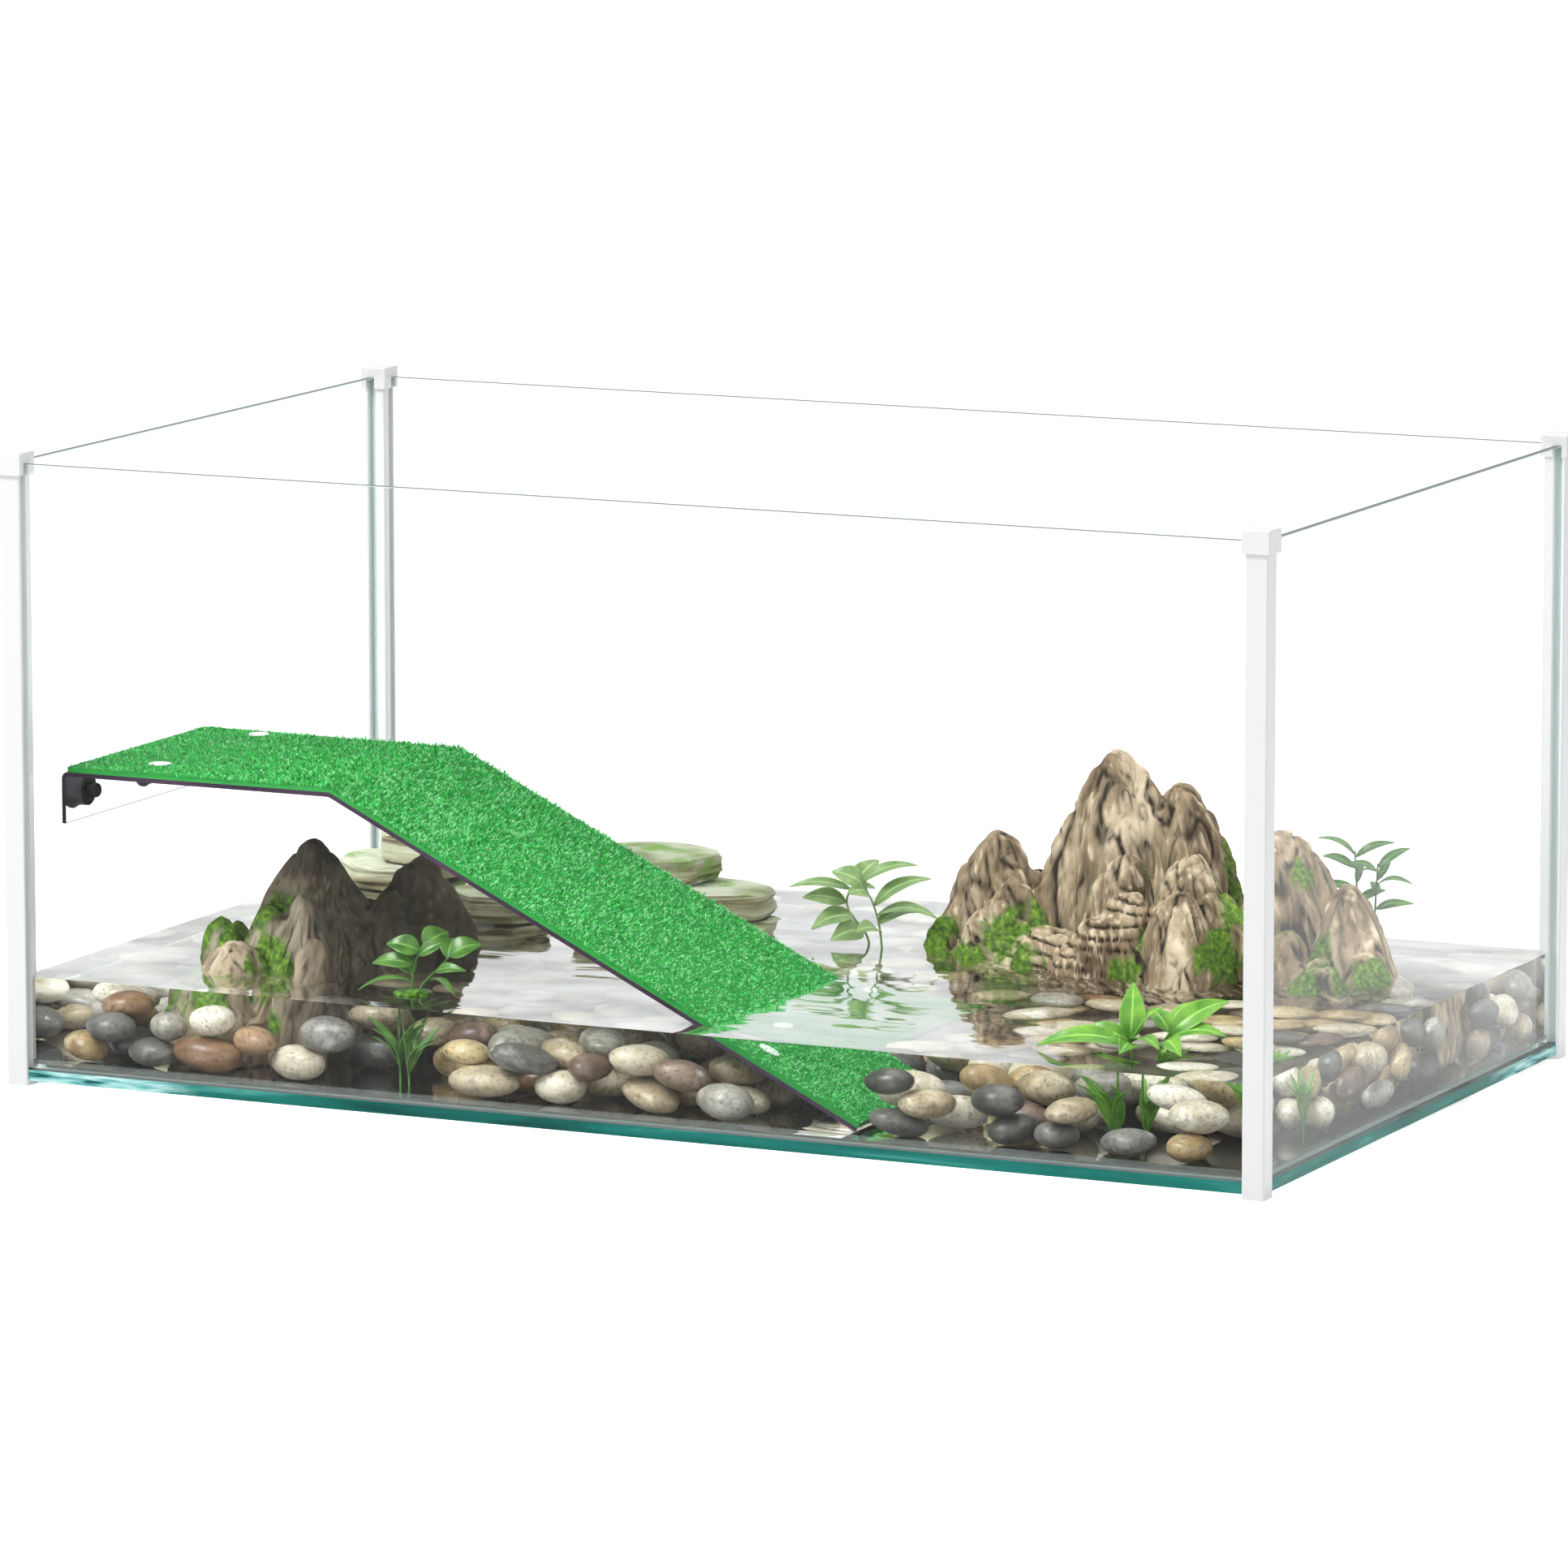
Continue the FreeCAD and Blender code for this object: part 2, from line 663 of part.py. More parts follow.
def safe_fall(falling, resting, limit):
    """How far one convex set of points can drop before it lies a pebble gap from another.

    A plane between the two gives a drop that is safe. The plane turns towards the shortest way
    between them, held as a weighted mean of differences of their points, and the drop grows.
    """
    fall = 0.0
    atoms = [[a - b for a, b in zip(falling[0], resting[0])]]
    weights = [1.0]
    for _ in range(contact_steps):
        vx, vy, vz = (sum(w * atom[k] for w, atom in zip(weights, atoms)) for k in range(3))
        vz -= fall
        size = math.sqrt(vx * vx + vy * vy + vz * vz)
        if size < contact_error:
            break
        p = min(falling, key=lambda q: q[0] * vx + q[1] * vy + q[2] * vz)
        q = max(resting, key=lambda q: q[0] * vx + q[1] * vy + q[2] * vz)
        near = [a - b for a, b in zip(p, q)]
        apart = (near[0] * vx + near[1] * vy + (near[2] - fall) * vz) / size
        if apart > pebble_gap:
            if vz <= 0:
                return math.inf
            step = (apart - pebble_gap) * size / vz
            fall += step
            vz -= step
            if fall > limit:
                break
        elif size - apart < contact_error:
            break
        tops = [atom[0] * vx + atom[1] * vy + (atom[2] - fall) * vz for atom in atoms]
        far = tops.index(max(tops))
        square = vx * vx + vy * vy + vz * vz
        gain = square - near[0] * vx - near[1] * vy - (near[2] - fall) * vz
        if gain >= tops[far] - square or len(atoms) == 1:
            way = (near[0] - vx, near[1] - vy, near[2] - fall - vz)
            most, toward = 1.0, True
        else:
            way = (vx - atoms[far][0], vy - atoms[far][1], vz - atoms[far][2] + fall)
            most, toward = weights[far] / (1 - weights[far]), False
        length = max(1e-12, sum(k * k for k in way))
        share = -(vx * way[0] + vy * way[1] + vz * way[2]) / length
        share = min(most, max(0.0, share))
        if toward:
            weights = [w * (1 - share) for w in weights] + [share]
            atoms.append(near)
        else:
            weights = [w * (1 + share) for w in weights]
            weights[far] -= share
        kept = [k for k, w in enumerate(weights) if w > 1e-9]
        atoms, weights = [atoms[k] for k in kept], [weights[k] for k in kept]
    return fall


class Bed:
    """Pebbles dropped one at a time into the tank, clear of everything that stands in it."""

    def __init__(self, outlines):
        self.outlines = outlines
        self.heap = []
        self.rng = random.Random(pebble_seed)

    def fits(self, pebble):
        """Whether the pebble is clear of the walls, the ornaments and the stems in plan."""
        room_x = inner_x - bead_leg - pebble_gap - pebble.half_width(0)
        room_y = inner_y - bead_leg - pebble_gap - pebble.half_width(math.pi / 2)
        if abs(pebble.x) > room_x or abs(pebble.y) > room_y:
            return False
        corner_x = half_length - post_side - pebble_gap - pebble.half_width(0)
        corner_y = half_width - post_side - pebble_gap - pebble.half_width(math.pi / 2)
        if abs(pebble.x) > corner_x and abs(pebble.y) > corner_y:
            return False
        for k in range(pebble_rim_points):
            angle = 2 * math.pi * k / pebble_rim_points
            u = (pebble.a + pebble_gap) * math.cos(angle)
            v = (pebble.b + pebble_gap) * math.sin(angle)
            x = pebble.x + u * math.cos(pebble.turn) - v * math.sin(pebble.turn)
            y = pebble.y + u * math.sin(pebble.turn) + v * math.cos(pebble.turn)
            if any(inside(outline, x, y) for outline in self.outlines):
                return False
        for px, py, room in plant_feet:
            way = math.atan2(py - pebble.y, px - pebble.x)
            if math.hypot(pebble.x - px, pebble.y - py) < room + pebble.half_width(way):
                return False
        return True

    def guess(self, pebble):
        """Quick height of rest, from the neighbours' plan distance."""
        z = bed_level + pebble.c
        for other in self.heap:
            dx, dy = other.x - pebble.x, other.y - pebble.y
            if max(abs(dx), abs(dy)) > self.span(pebble):
                continue
            way = math.atan2(dy, dx)
            reach = pebble.half_width(way) + other.half_width(way) + pebble_gap
            share = math.hypot(dx, dy) / reach
            if share < 1:
                z = max(z, other.z + (pebble.c + other.c) * math.sqrt(1 - share * share))
        return z

    def under_ramp(self, points):
        """Whether the points keep clear of the ramp's slope."""
        if max(p[1] for p in points) < ramp_front - pebble_gap:
            return True
        if min(p[1] for p in points) > ramp_back + pebble_gap:
            return True
        if min(p[0] for p in points) > ramp_end_x + turf_thickness + pebble_gap:
            return True
        plane = ramp_end_x * slope_normal.x + ramp_end_z * slope_normal.z - plate_thickness
        return max(p[0] * slope_normal.x + p[2] * slope_normal.z for p in points) < plane - pebble_gap

    def drop(self, pebble):
        """Lower a pebble onto the heap. It is left out where it would stand too high."""
        pebble.z = tank_height
        points = pebble.points()
        fall = min(p[2] for p in points) - bed_level - pebble_gap
        for other, cloud in self.nearby(pebble):
            fall = min(fall, safe_fall(points, cloud, fall))
        pebble.z -= fall
        points = pebble.points()
        if max(p[2] for p in points) > pebble_crest or not self.under_ramp(points):
            return False
        self.heap.append(pebble)
        return True

    def span(self, pebble):
        """No stone further away than this can touch the pebble."""
        return pebble.a + 0.75 * pebble_length + pebble_gap

    def nearby(self, pebble):
        for other in self.heap:
            if max(abs(other.x - pebble.x), abs(other.y - pebble.y)) < self.span(pebble):
                yield other, other.points()

    def fill(self):
        colours = list(pebble_colours)
        weights = [pebble_colours[name] for name in colours]
        for layer in range(pebble_edge_layers):
            columns = int(2 * inner_x / (pebble_length * pebble_pitch))
            rows = int(2 * inner_y / (pebble_breadth * pebble_pitch))
            for j in range(rows):
                for i in range(columns):
                    colour = self.rng.choices(colours, weights)[0]
                    size = self.rng.uniform(pebble_smallest, pebble_largest)
                    pebble = Pebble(self.rng, colour, size)
                    x = -inner_x + (i + 0.5 + 0.5 * ((j + layer) % 2)) * 2 * inner_x / columns
                    y = -inner_y + (j + 0.5) * 2 * inner_y / rows
                    out_of_sight = min(y + inner_y, inner_x - x) > pebble_edge_band
                    if layer >= pebble_layers and out_of_sight:
                        continue
                    best = None
                    for _ in range(pebble_tries):
                        stray_x = self.rng.uniform(-pebble_scatter, pebble_scatter)
                        stray_y = self.rng.uniform(-pebble_scatter, pebble_scatter)
                        pebble.x = x + stray_x * pebble_length
                        pebble.y = y + stray_y * pebble_breadth
                        pebble.turn = math.radians(self.rng.gauss(0, pebble_spread))
                        if not self.fits(pebble):
                            continue
                        z = self.guess(pebble)
                        if best is None or z < best[0]:
                            best = (z, pebble.x, pebble.y, pebble.turn)
                    if best and best[0] < pebble_crest:
                        pebble.x, pebble.y, pebble.turn = best[1:]
                        self.drop(pebble)
        return self.heap


def leaf(root, tip, breadth, sag):
    """Pointed blade from its root to its tip, arched and thickest along the midrib."""
    root, tip = vector(*root), vector(*tip)
    along = (tip - root).normalize()
    side = along.cross(vector(0, 0, 1))
    side = side.normalize() if side.Length > 0.01 else vector(1, 0, 0)
    rings = [[tuple(root)]]
    for share, width in ((0.3, 0.92), (0.62, 0.85)):
        centre = root + (tip - root) * share + vector(0, 0, sag * 4 * share * (1 - share))
        edge = side * (breadth / 2 * width)
        rib = vector(0, 0, leaf_thickness / 2)
        rings.append([tuple(p) for p in (centre + edge, centre + rib, centre - edge, centre - rib)])
    rings.append([tuple(tip)])
    return solid_of_rings(rings)


def stem(points):
    """Round stem through a few points, thinner towards its end."""
    rings = []
    for number, point in enumerate(points):
        size = stem_radius * (1 - 0.45 * number / (len(points) - 1))
        ring = []
        for k in range(stem_sides):
            angle = 2 * math.pi * k / stem_sides
            ring.append((point[0] + size * math.cos(angle), point[1] + size * math.sin(angle), point[2]))
        rings.append(ring)
    return solid_of_rings(rings)


def on_stem(points, z):
    """Point of a stem at a height."""
    for a, b in zip(points, points[1:]):
        if a[2] <= z <= b[2]:
            share = (z - a[2]) / (b[2] - a[2])
            return [p + (q - p) * share for p, q in zip(a, b)]
    return list(points[-1])


def tuft(x, y):
    """Low cushion of moss at the water's surface."""
    rings = [[(x, y, water_level - tuft_height / 2)]]
    for share, lift in ((0.8, 0.2), (1.0, 0.5), (0.6, 0.85)):
        z = water_level + (lift - 0.5) * tuft_height
        rings.append([
            (x + share * tuft_radius * math.cos(2 * math.pi * k / tuft_sides),
             y + share * tuft_radius * math.sin(2 * math.pi * k / tuft_sides), z)
            for k in range(tuft_sides)
        ])
    rings.append([(x, y, water_level + tuft_height / 2)])
    return solid_of_rings(rings)


class Plant:
    """Stems and leaves as one piece. A leaf is stem, height, heading, length, lift and breadth."""

    def __init__(self, stems, leaves, room, cushion=False):
        self.stems = []
        for points in stems:
            knots = [(*laid_out(x, y), z * layout_step) for x, y, z in points]
            self.stems.append([(*knots[0][:2], bed_level)] + knots)
        self.leaves, self.room, self.cushion = leaves, room, cushion

    def feet(self):
        return [(points[0][0], points[0][1], self.room) for points in self.stems]

    def solid(self):
        pieces = [stem(points) for points in self.stems]
        for number, height, heading, length, lift, breadth in self.leaves:
            root = on_stem(self.stems[number], height * layout_step)
            way, length = math.radians(heading), length * layout_step
            tip = (
                root[0] + length * math.cos(way),
                root[1] + length * math.sin(way),
                root[2] + lift * layout_step,
            )
            pieces.append(leaf(root, tip, breadth * layout_step, leaf_arch * length))
        if self.cushion:
            pieces.append(tuft(*on_stem(self.stems[0], water_level)[:2]))
        return pieces[0].fuse(pieces[1:])


right_rock = Rock((140, 88), [
    Crag(109, 105, 137, 28, 2.2, 1.05, 80),
    Crag(120, 107, 129, 24, 2.2),
    Crag(138, 112, 122, 23, 2.3),
    Crag(146, 112, 113, 22, 2.3),
    Crag(90, 98, 104, 18, 2.2),
    Crag(61, 88, 101, 26, 2.0),
    Crag(50, 85, 86, 19, 2.1),
    Crag(44, 68, 62, 18, 2.2),
    Crag(80, 62, 88, 17, 2.2),
    Crag(72, 58, 74, 15, 2.2),
    Crag(66, 53, 70, 13, 2.2),
    Crag(134, 62, 100, 18, 2.2),
    Crag(126, 62, 90, 15, 2.2),
    Crag(169, 52, 103, 24, 2.1, 1.1, 70),
    Crag(184, 52, 86, 20, 2.1),
    Crag(173, 32, 90, 21, 2.4),
    Crag(194, 98, 109, 26, 2.1),
    Crag(205, 98, 101, 23, 2.1),
    Crag(231, 84, 91, 22, 2.1),
    Crag(246, 66, 62, 20, 2.4),
    Crag(238, 34, 68, 13, 2.4),
    Crag(217, 46, 79, 14, 2.6),
    Crag(143, 44, 84, 13, 4.0),
    Crag(136, 36, 73, 19, 5.0, 1.15, 10),
    Crag(104, 46, 64, 21, 4.5, 1.2, -15),
    Crag(128, 33, 60, 21, 5.0, 1.2, 5),
    Crag(86, 46, 52, 16, 3.0),
], (36, 25))

left_rock = Rock((-188, -76), [
    Crag(-206, -75, 99, 18, 2.4),
    Crag(-197, -75, 103, 20, 2.3),
    Crag(-190, -70, 95, 21, 2.3),
    Crag(-192, -97, 82, 14, 2.3),
    Crag(-211, -95, 77, 14, 2.3),
    Crag(-218, -84, 83, 11, 2.2),
    Crag(-189, -57, 82, 14, 2.2),
    Crag(-200, -88, 66, 30, 2.6),
    Crag(-233, -98, 68, 15, 2.3),
    Crag(-216, -118, 62, 23, 2.3),
    Crag(-174, -122, 69, 14, 2.3),
    Crag(-172, -64, 67, 25, 2.6),
    Crag(-172, -42, 89, 18, 2.3),
    Crag(-164, -33, 94, 21, 2.2),
    Crag(-153, -31, 74, 18, 2.2),
    Crag(-169, -57, 80, 13, 2.1),
    Crag(-243, -62, 60, 14, 2.3),
], (25, 22))

slates = [
    Slate(-120, 76, 86, 56, 14, 0, 3),
    Slate(-119, 77, 84, 53, 10, 1, 5),
    Slate(-120, 75, 82, 54, 16, 2, 8),
    Slate(-96, 92, 46, 37, -8, 3, 13),
    Slate(-168, 99, 24, 24, 20, 3, 21),
    Slate(-168, 46, 29, 24, 15, 3, 89),
    Slate(-122, 99, 42, 32, 10, 4, 34),
    Slate(-242, 108, 45, 43, 8, 0, 55),
    Slate(-243, 108, 43, 41, -9, 1, 89),
    Slate(-244, 109, 42, 39, 5, 2, 14),
    Slate(-250, 110, 36, 34, -6, 3, 23),
    Slate(-231, 107, 32, 29, 12, 4, 61),
]

plants = {
    "slender_plant": Plant(
        [
            [(20, 51, 48), (16, 53, 64), (9, 52, 79)],
            [(10, 58, 50), (0, 57, 66), (4, 57, 75)],
        ],
        [
            (1, 72, 205, 28, 3, 5), (1, 66, 200, 20, 3, 8), (1, 60, 215, 18, -4, 12),
            (1, 54, 240, 15, -2, 10), (1, 73, 60, 12, 12, 9), (1, 70, 350, 13, 5, 6),
            (0, 76, 200, 12, 6, 9), (0, 77, 25, 24, 9, 5), (0, 72, 250, 12, 2, 8),
            (0, 66, 30, 25, 14, 8), (0, 62, 12, 30, 2, 9), (0, 58, 45, 16, 6, 9),
            (0, 55, 255, 13, 3, 8),
        ],
        stem_room,
    ),
    "round_leaf_plant": Plant(
        [
            [(-119, -135, 50), (-118, -133, 62), (-114, -131, 70)],
            [(-114, -137, 50), (-106, -134, 60), (-100, -132, 67)],
        ],
        [
            (0, 68, 60, 13, 6, 13), (0, 66, 200, 15, 4, 11), (0, 60, 190, 20, 1, 9),
            (0, 56, 170, 12, 8, 11), (0, 64, 20, 13, 7, 7), (1, 65, 25, 14, 6, 13),
            (1, 64, 100, 11, 8, 9), (1, 58, 350, 16, 3, 6), (1, 54, 330, 22, -1, 5),
            (0, 53, 215, 24, -1, 4), (0, 16, 190, 14, 24, 4), (0, 14, 230, 13, 22, 4),
            (0, 16, 330, 12, 25, 4), (1, 15, 20, 14, 22, 4), (1, 14, 290, 13, 20, 4),
            (1, 17, 60, 11, 24, 4),
        ],
        grass_room,
        cushion=True,
    ),
    "broad_leaf_plant": Plant(
        [
            [(216, -123, 48), (215, -122, 54)],
            [(226, -112, 49), (229, -109, 56)],
        ],
        [
            (0, 52, 100, 6, 24, 12), (0, 51, 30, 12, 16, 10), (0, 50, 203, 40, 2, 11),
            (0, 52, 190, 22, 4, 10), (0, 50, 280, 18, 1, 10), (0, 51, 330, 20, 2, 11),
            (1, 53, 38, 26, 15, 12), (1, 54, 65, 20, 12, 11), (1, 51, 8, 26, 5, 12),
            (1, 54, 150, 13, 9, 9), (1, 50, 310, 22, 0, 11), (0, 14, 195, 15, 26, 6),
            (0, 16, 225, 14, 25, 6), (0, 13, 170, 15, 23, 5), (0, 15, 280, 13, 24, 6),
            (1, 14, 330, 14, 24, 6), (1, 15, 10, 15, 22, 6), (1, 16, 50, 13, 25, 5),
            (1, 14, 110, 12, 23, 5),
        ],
        grass_room,
    ),
    "fine_leaf_plant": Plant(
        [
            [(212, 140, 66), (211, 139, 92)],
            [(222, 136, 64), (224, 134, 88)],
        ],
        [
            (0, 90, 200, 16, 9, 5), (0, 89, 20, 17, 8, 5), (0, 84, 170, 18, 5, 5),
            (0, 80, 330, 16, 6, 5), (0, 74, 215, 19, 4, 5), (0, 69, 45, 14, 5, 5),
            (0, 77, 100, 13, 9, 4), (1, 86, 40, 15, 9, 5), (1, 84, 235, 16, 6, 5),
            (1, 78, 350, 18, 4, 5), (1, 73, 120, 14, 5, 5), (1, 67, 10, 17, 4, 5),
            (1, 80, 80, 12, 9, 4),
        ],
        stem_room,
    ),
    "side_grass": Plant(
        [
            [(270, -98, 22)],
        ],
        [
            (0, 14, 200, 12, 27, 5), (0, 12, 250, 11, 25, 5), (0, 15, 150, 12, 27, 5),
            (0, 13, 100, 11, 24, 5), (0, 16, 60, 9, 26, 5), (0, 14, 300, 10, 24, 5),
            (0, 12, 10, 8, 25, 4), (0, 18, 180, 8, 24, 4),
        ],
        grass_room,
    ),
}
plant_feet = [foot for plant in plants.values() for foot in plant.feet()]


def water_body(standing):
    """Clear water above the bed, with a pocket for each thing that comes through the surface."""
    body = Part.Face(inner_outline(water_wall_gap, pebble_crest + pebble_gap))
    body = body.extrude(vector(0, 0, water_level - pebble_crest - pebble_gap))
    low, high = pebble_crest - 1, water_level + 1
    pockets = []
    for outline in standing:
        points = [vector(x, y, low) for x, y in outline]
        wire = Part.makePolygon(points + points[:1])
        pockets.append(Part.Face(wire).extrude(vector(0, 0, high - low)))
    sleeve = bent_strip(-plate_thickness - pocket_gap, turf_thickness + pocket_gap, True)
    sleeve = sleeve.fuse([
        sleeve.translated(vector(0, pocket_gap, 0)),
        sleeve.translated(vector(0, -pocket_gap, 0)),
    ])
    return body.cut(pockets + [sleeve])


def round_outline(x, y, radius):
    turns = [2 * math.pi * k / stem_pocket_sides for k in range(stem_pocket_sides)]
    return [(x + radius * math.cos(turn), y + radius * math.sin(turn)) for turn in turns]


def make_landscape():
    parts["right_rock"] = right_rock.solid()
    parts["left_rock"] = left_rock.solid()
    for number, slate in enumerate(slates, 1):
        parts[f"slate_{number}"] = slate.solid()
    for name, plant in plants.items():
        parts[name] = plant.solid()
    rocks = (right_rock, left_rock)
    feet = [
        rock.outline(bed_level + rock_lip, rock_clearance, rock_outline_points) for rock in rocks
    ]
    feet += [slate.outline(1.0) for slate in slates if slate.bottom < pebble_crest]
    heap = Bed(feet).fill()
    for colour in pebble_colours:
        stones = [solid_of_rings(p.rings()) for p in heap if p.colour == colour]
        parts[f"pebbles_{colour}"] = Part.makeCompound(stones)
    level = pebble_crest - rock_pocket_drop
    standing = [rock.outline(level, rock_pocket_gap, rock_outline_points) for rock in rocks]
    for slate in slates:
        if slate.bottom < water_level and slate.bottom + stone_rise > pebble_crest:
            standing.append(slate.outline(1 + slate_pocket_gap / slate.short_radius))
    standing += [round_outline(x, y, stem_room + stem_radius) for x, y, _ in plant_feet]
    standing += [
        round_outline(*on_stem(plant.stems[0], water_level)[:2], tuft_radius + pocket_gap)
        for plant in plants.values() if plant.cushion
    ]
    parts["water"] = water_body(standing)


if __name__ == "__main__":
    make_glass_box()
    make_ramp()
    make_landscape()
    os.makedirs("parts", exist_ok=True)
    for name, shape in parts.items():
        print(name, shape.ShapeType, len(shape.Solids), round(shape.Volume), len(shape.Faces))
        shape.exportStep(f"parts/{name}.step")
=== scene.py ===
"""Finishes for the furnished turtle tank: glass, water, turf, carved rocks, pebbles and plants."""
import math
import random

import bmesh
import bpy
import numpy as np
from mathutils import Matrix, Vector, noise


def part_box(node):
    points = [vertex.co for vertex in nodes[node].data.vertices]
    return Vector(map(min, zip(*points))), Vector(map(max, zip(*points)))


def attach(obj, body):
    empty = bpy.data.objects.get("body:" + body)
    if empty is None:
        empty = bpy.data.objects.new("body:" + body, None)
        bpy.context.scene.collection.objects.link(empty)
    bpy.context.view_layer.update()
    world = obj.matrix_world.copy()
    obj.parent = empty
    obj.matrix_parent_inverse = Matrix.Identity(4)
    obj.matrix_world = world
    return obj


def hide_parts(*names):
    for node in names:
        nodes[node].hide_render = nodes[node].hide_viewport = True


bl_info = {
    "name": "Turtle tank finishes",
    "version": (1, 0, 0),
    "blender": (4, 5, 0),
    "location": "View3D > Sidebar > Turtle tank",
    "description": "Dresses the packed turtle tank with its finishes and sets up a plain studio",
    "category": "Object",
}

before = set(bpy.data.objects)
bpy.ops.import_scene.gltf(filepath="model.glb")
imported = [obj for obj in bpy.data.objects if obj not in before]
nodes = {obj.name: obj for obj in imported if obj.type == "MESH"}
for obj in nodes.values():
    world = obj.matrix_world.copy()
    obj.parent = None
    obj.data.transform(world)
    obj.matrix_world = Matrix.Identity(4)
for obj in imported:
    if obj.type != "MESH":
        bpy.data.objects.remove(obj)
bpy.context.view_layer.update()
MM = 0.001
PANES = ("front_pane", "back_pane", "left_pane", "right_pane")
CORNERS = ("front_left", "front_right", "back_left", "back_right")
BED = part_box("dark_substrate")[1].z / MM
TURF_THICKNESS = 2.4 * MM
THIN_SHEET = 1.001           # a flat sheet doesn't bend what is seen through it
WATER_INDEX = 1.37           # the back wall mirrors what lies in front of it, as in the photo
WATER_CUTS = 110             # cuts of the water's surface, which let it ripple
LEAF_THICKNESS = 0.45 * MM
STEM_RADIUS = 0.62 * MM
LEAF_ROLL = 0.6              # leaves tip their upper sides forward by this much

# Stones, in millimetres
SHOULDER = 46.0              # a rock swells from this height on
SHOULDER_RISE = 16.0         # and reaches its full swell this much higher
FOOT_FADE = 8.0              # the carving fades out over this height above a rock's foot
LEDGE_SHEET = 5.2            # thickness of the sheets that the right rock's ledges split into
SLATE_SHEET = 2.6            # and of those that a slate splits into
SLATE_BREAKS = 6             # broken sides of a slate


def named(start):
    """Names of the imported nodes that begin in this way."""
    return sorted(name for name in nodes if name.startswith(start))


# Settings that a user would change

def colour_setting(name, description, default):
    return bpy.props.FloatVectorProperty(
        name=name, description=description, subtype="COLOR", size=3, default=default)


def length_setting(name, description, default, low, high):
    """A length. The numbers are in millimetres."""
    return bpy.props.FloatProperty(
        name=name, description=description, subtype="DISTANCE",
        default=default * MM, min=low * MM, max=high * MM)


def share_setting(name, description, default):
    return bpy.props.FloatProperty(
        name=name, description=description, default=default, min=0.0, max=1.0)


def count_setting(name, description, default, low, high):
    return bpy.props.IntProperty(
        name=name, description=description, default=default, min=low, max=high)


def angle_setting(name, description, degrees):
    return bpy.props.FloatProperty(
        name=name, description=description, subtype="ANGLE", default=math.radians(degrees))


class TankGlassSettings(bpy.types.PropertyGroup):
    """Colours of the glass box."""

    tint: colour_setting(
        "Glass tint", "Colour of light that has passed through a pane", (0.985, 0.995, 0.992))
    rim: colour_setting("Rim", "Colour of a pane's ground edge", (0.66, 0.79, 0.78))
    base_edge: colour_setting(
        "Base edge", "Colour of the base glass seen at its edge", (0.006, 0.125, 0.105))
    reflection: share_setting("Reflection", "Share of a plain pane's reflection that is kept", 0.1)
    plastic: colour_setting("Posts", "Colour of the corner posts and caps", (0.755, 0.76, 0.765))


class TankRampSettings(bpy.types.PropertyGroup):
    """The ramp's turf."""

    blades: count_setting("Blades", "Number of turf blades", 46000, 1000, 60000)
    blade_length: length_setting("Blade length", "Length of one blade", 3.1, 1, 8)
    blade_width: length_setting("Blade width", "Width of one blade at its root", 0.78, 0.2, 2)
    backing: length_setting("Backing", "Thickness of the turf's backing", 1.3, 0.5, 3)
    green: colour_setting("Green", "Middle colour of the blades", (0.045, 0.88, 0.12))


class TankWaterSettings(bpy.types.PropertyGroup):
    """The water."""

    ripple: length_setting("Ripple", "Height of the ripples on the surface", 0.22, 0, 2)
    wall_gap: length_setting("Wall gap", "Gap between the water and the panes", 0.15, 0, 2)
    sheen: share_setting("Sheen", "Strength of the sky seen in the surface at a low angle", 0.82)


class TankStoneSettings(bpy.types.PropertyGroup):
    """Rocks, slates and pebbles."""

    carving: length_setting("Carving", "Depth of the grooves on the rocks", 1.7, 0, 5)
    pebble_detail: count_setting("Pebble detail", "Subdivisions of a pebble", 3, 2, 4)
    seed: count_setting("Seed", "Number that the uneven details start from", 7, 0, 9999)


class TankStageSettings(bpy.types.PropertyGroup):
    """Camera and lights."""

    camera_place: bpy.props.FloatVectorProperty(
        name="Camera", description="Where the camera stands",
        subtype="TRANSLATION", size=3, default=(1.809139, -3.820828, 0.823289))
    camera_turn: angle_setting("Turn", "Turn of the view to the left of straight ahead", 25.3755)
    camera_down: angle_setting("Down", "Angle of the view below level", 9.33764)
    camera_roll: angle_setting("Roll", "Roll of the camera", 0.0616)
    lens: bpy.props.FloatProperty(
        name="Lens", description="Focal length for a 36 mm sensor, in mm", default=223.353)
    daylight: share_setting("Daylight", "Strength of the even light from all round", 0.56)


SETTINGS = (
    ("tank_glass", TankGlassSettings),
    ("tank_ramp", TankRampSettings),
    ("tank_water", TankWaterSettings),
    ("tank_stone", TankStoneSettings),
    ("tank_stage", TankStageSettings),
)


# Modelling helpers

def select_only(*pieces):
    """Select these objects and nothing else, and make the first one active."""
    if bpy.context.object and bpy.context.object.mode != "OBJECT":
        bpy.ops.object.mode_set(mode="OBJECT")
    bpy.ops.object.select_all(action="DESELECT")
    for piece in pieces:
        piece.select_set(True)
    bpy.context.view_layer.objects.active = pieces[0]


def new_piece(name, mesh):
    piece = bpy.data.objects.new(name, mesh)
    bpy.context.scene.collection.objects.link(piece)
    return piece


def primitive(add, **settings):
    """One of Blender's basic meshes, made with nothing else selected."""
    bpy.ops.object.select_all(action="DESELECT")
    add(**settings)
    return bpy.context.object


def normals_outward(piece, merge=False):
    """Turn every face outward, after merging doubled points where that is asked for."""
    select_only(piece)
    bpy.ops.object.mode_set(mode="EDIT")
    bpy.ops.mesh.select_all(action="SELECT")
    if merge:
        bpy.ops.mesh.remove_doubles(threshold=0.01 * MM)
    bpy.ops.mesh.normals_make_consistent(inside=False)
    bpy.ops.object.mode_set(mode="OBJECT")
    return piece


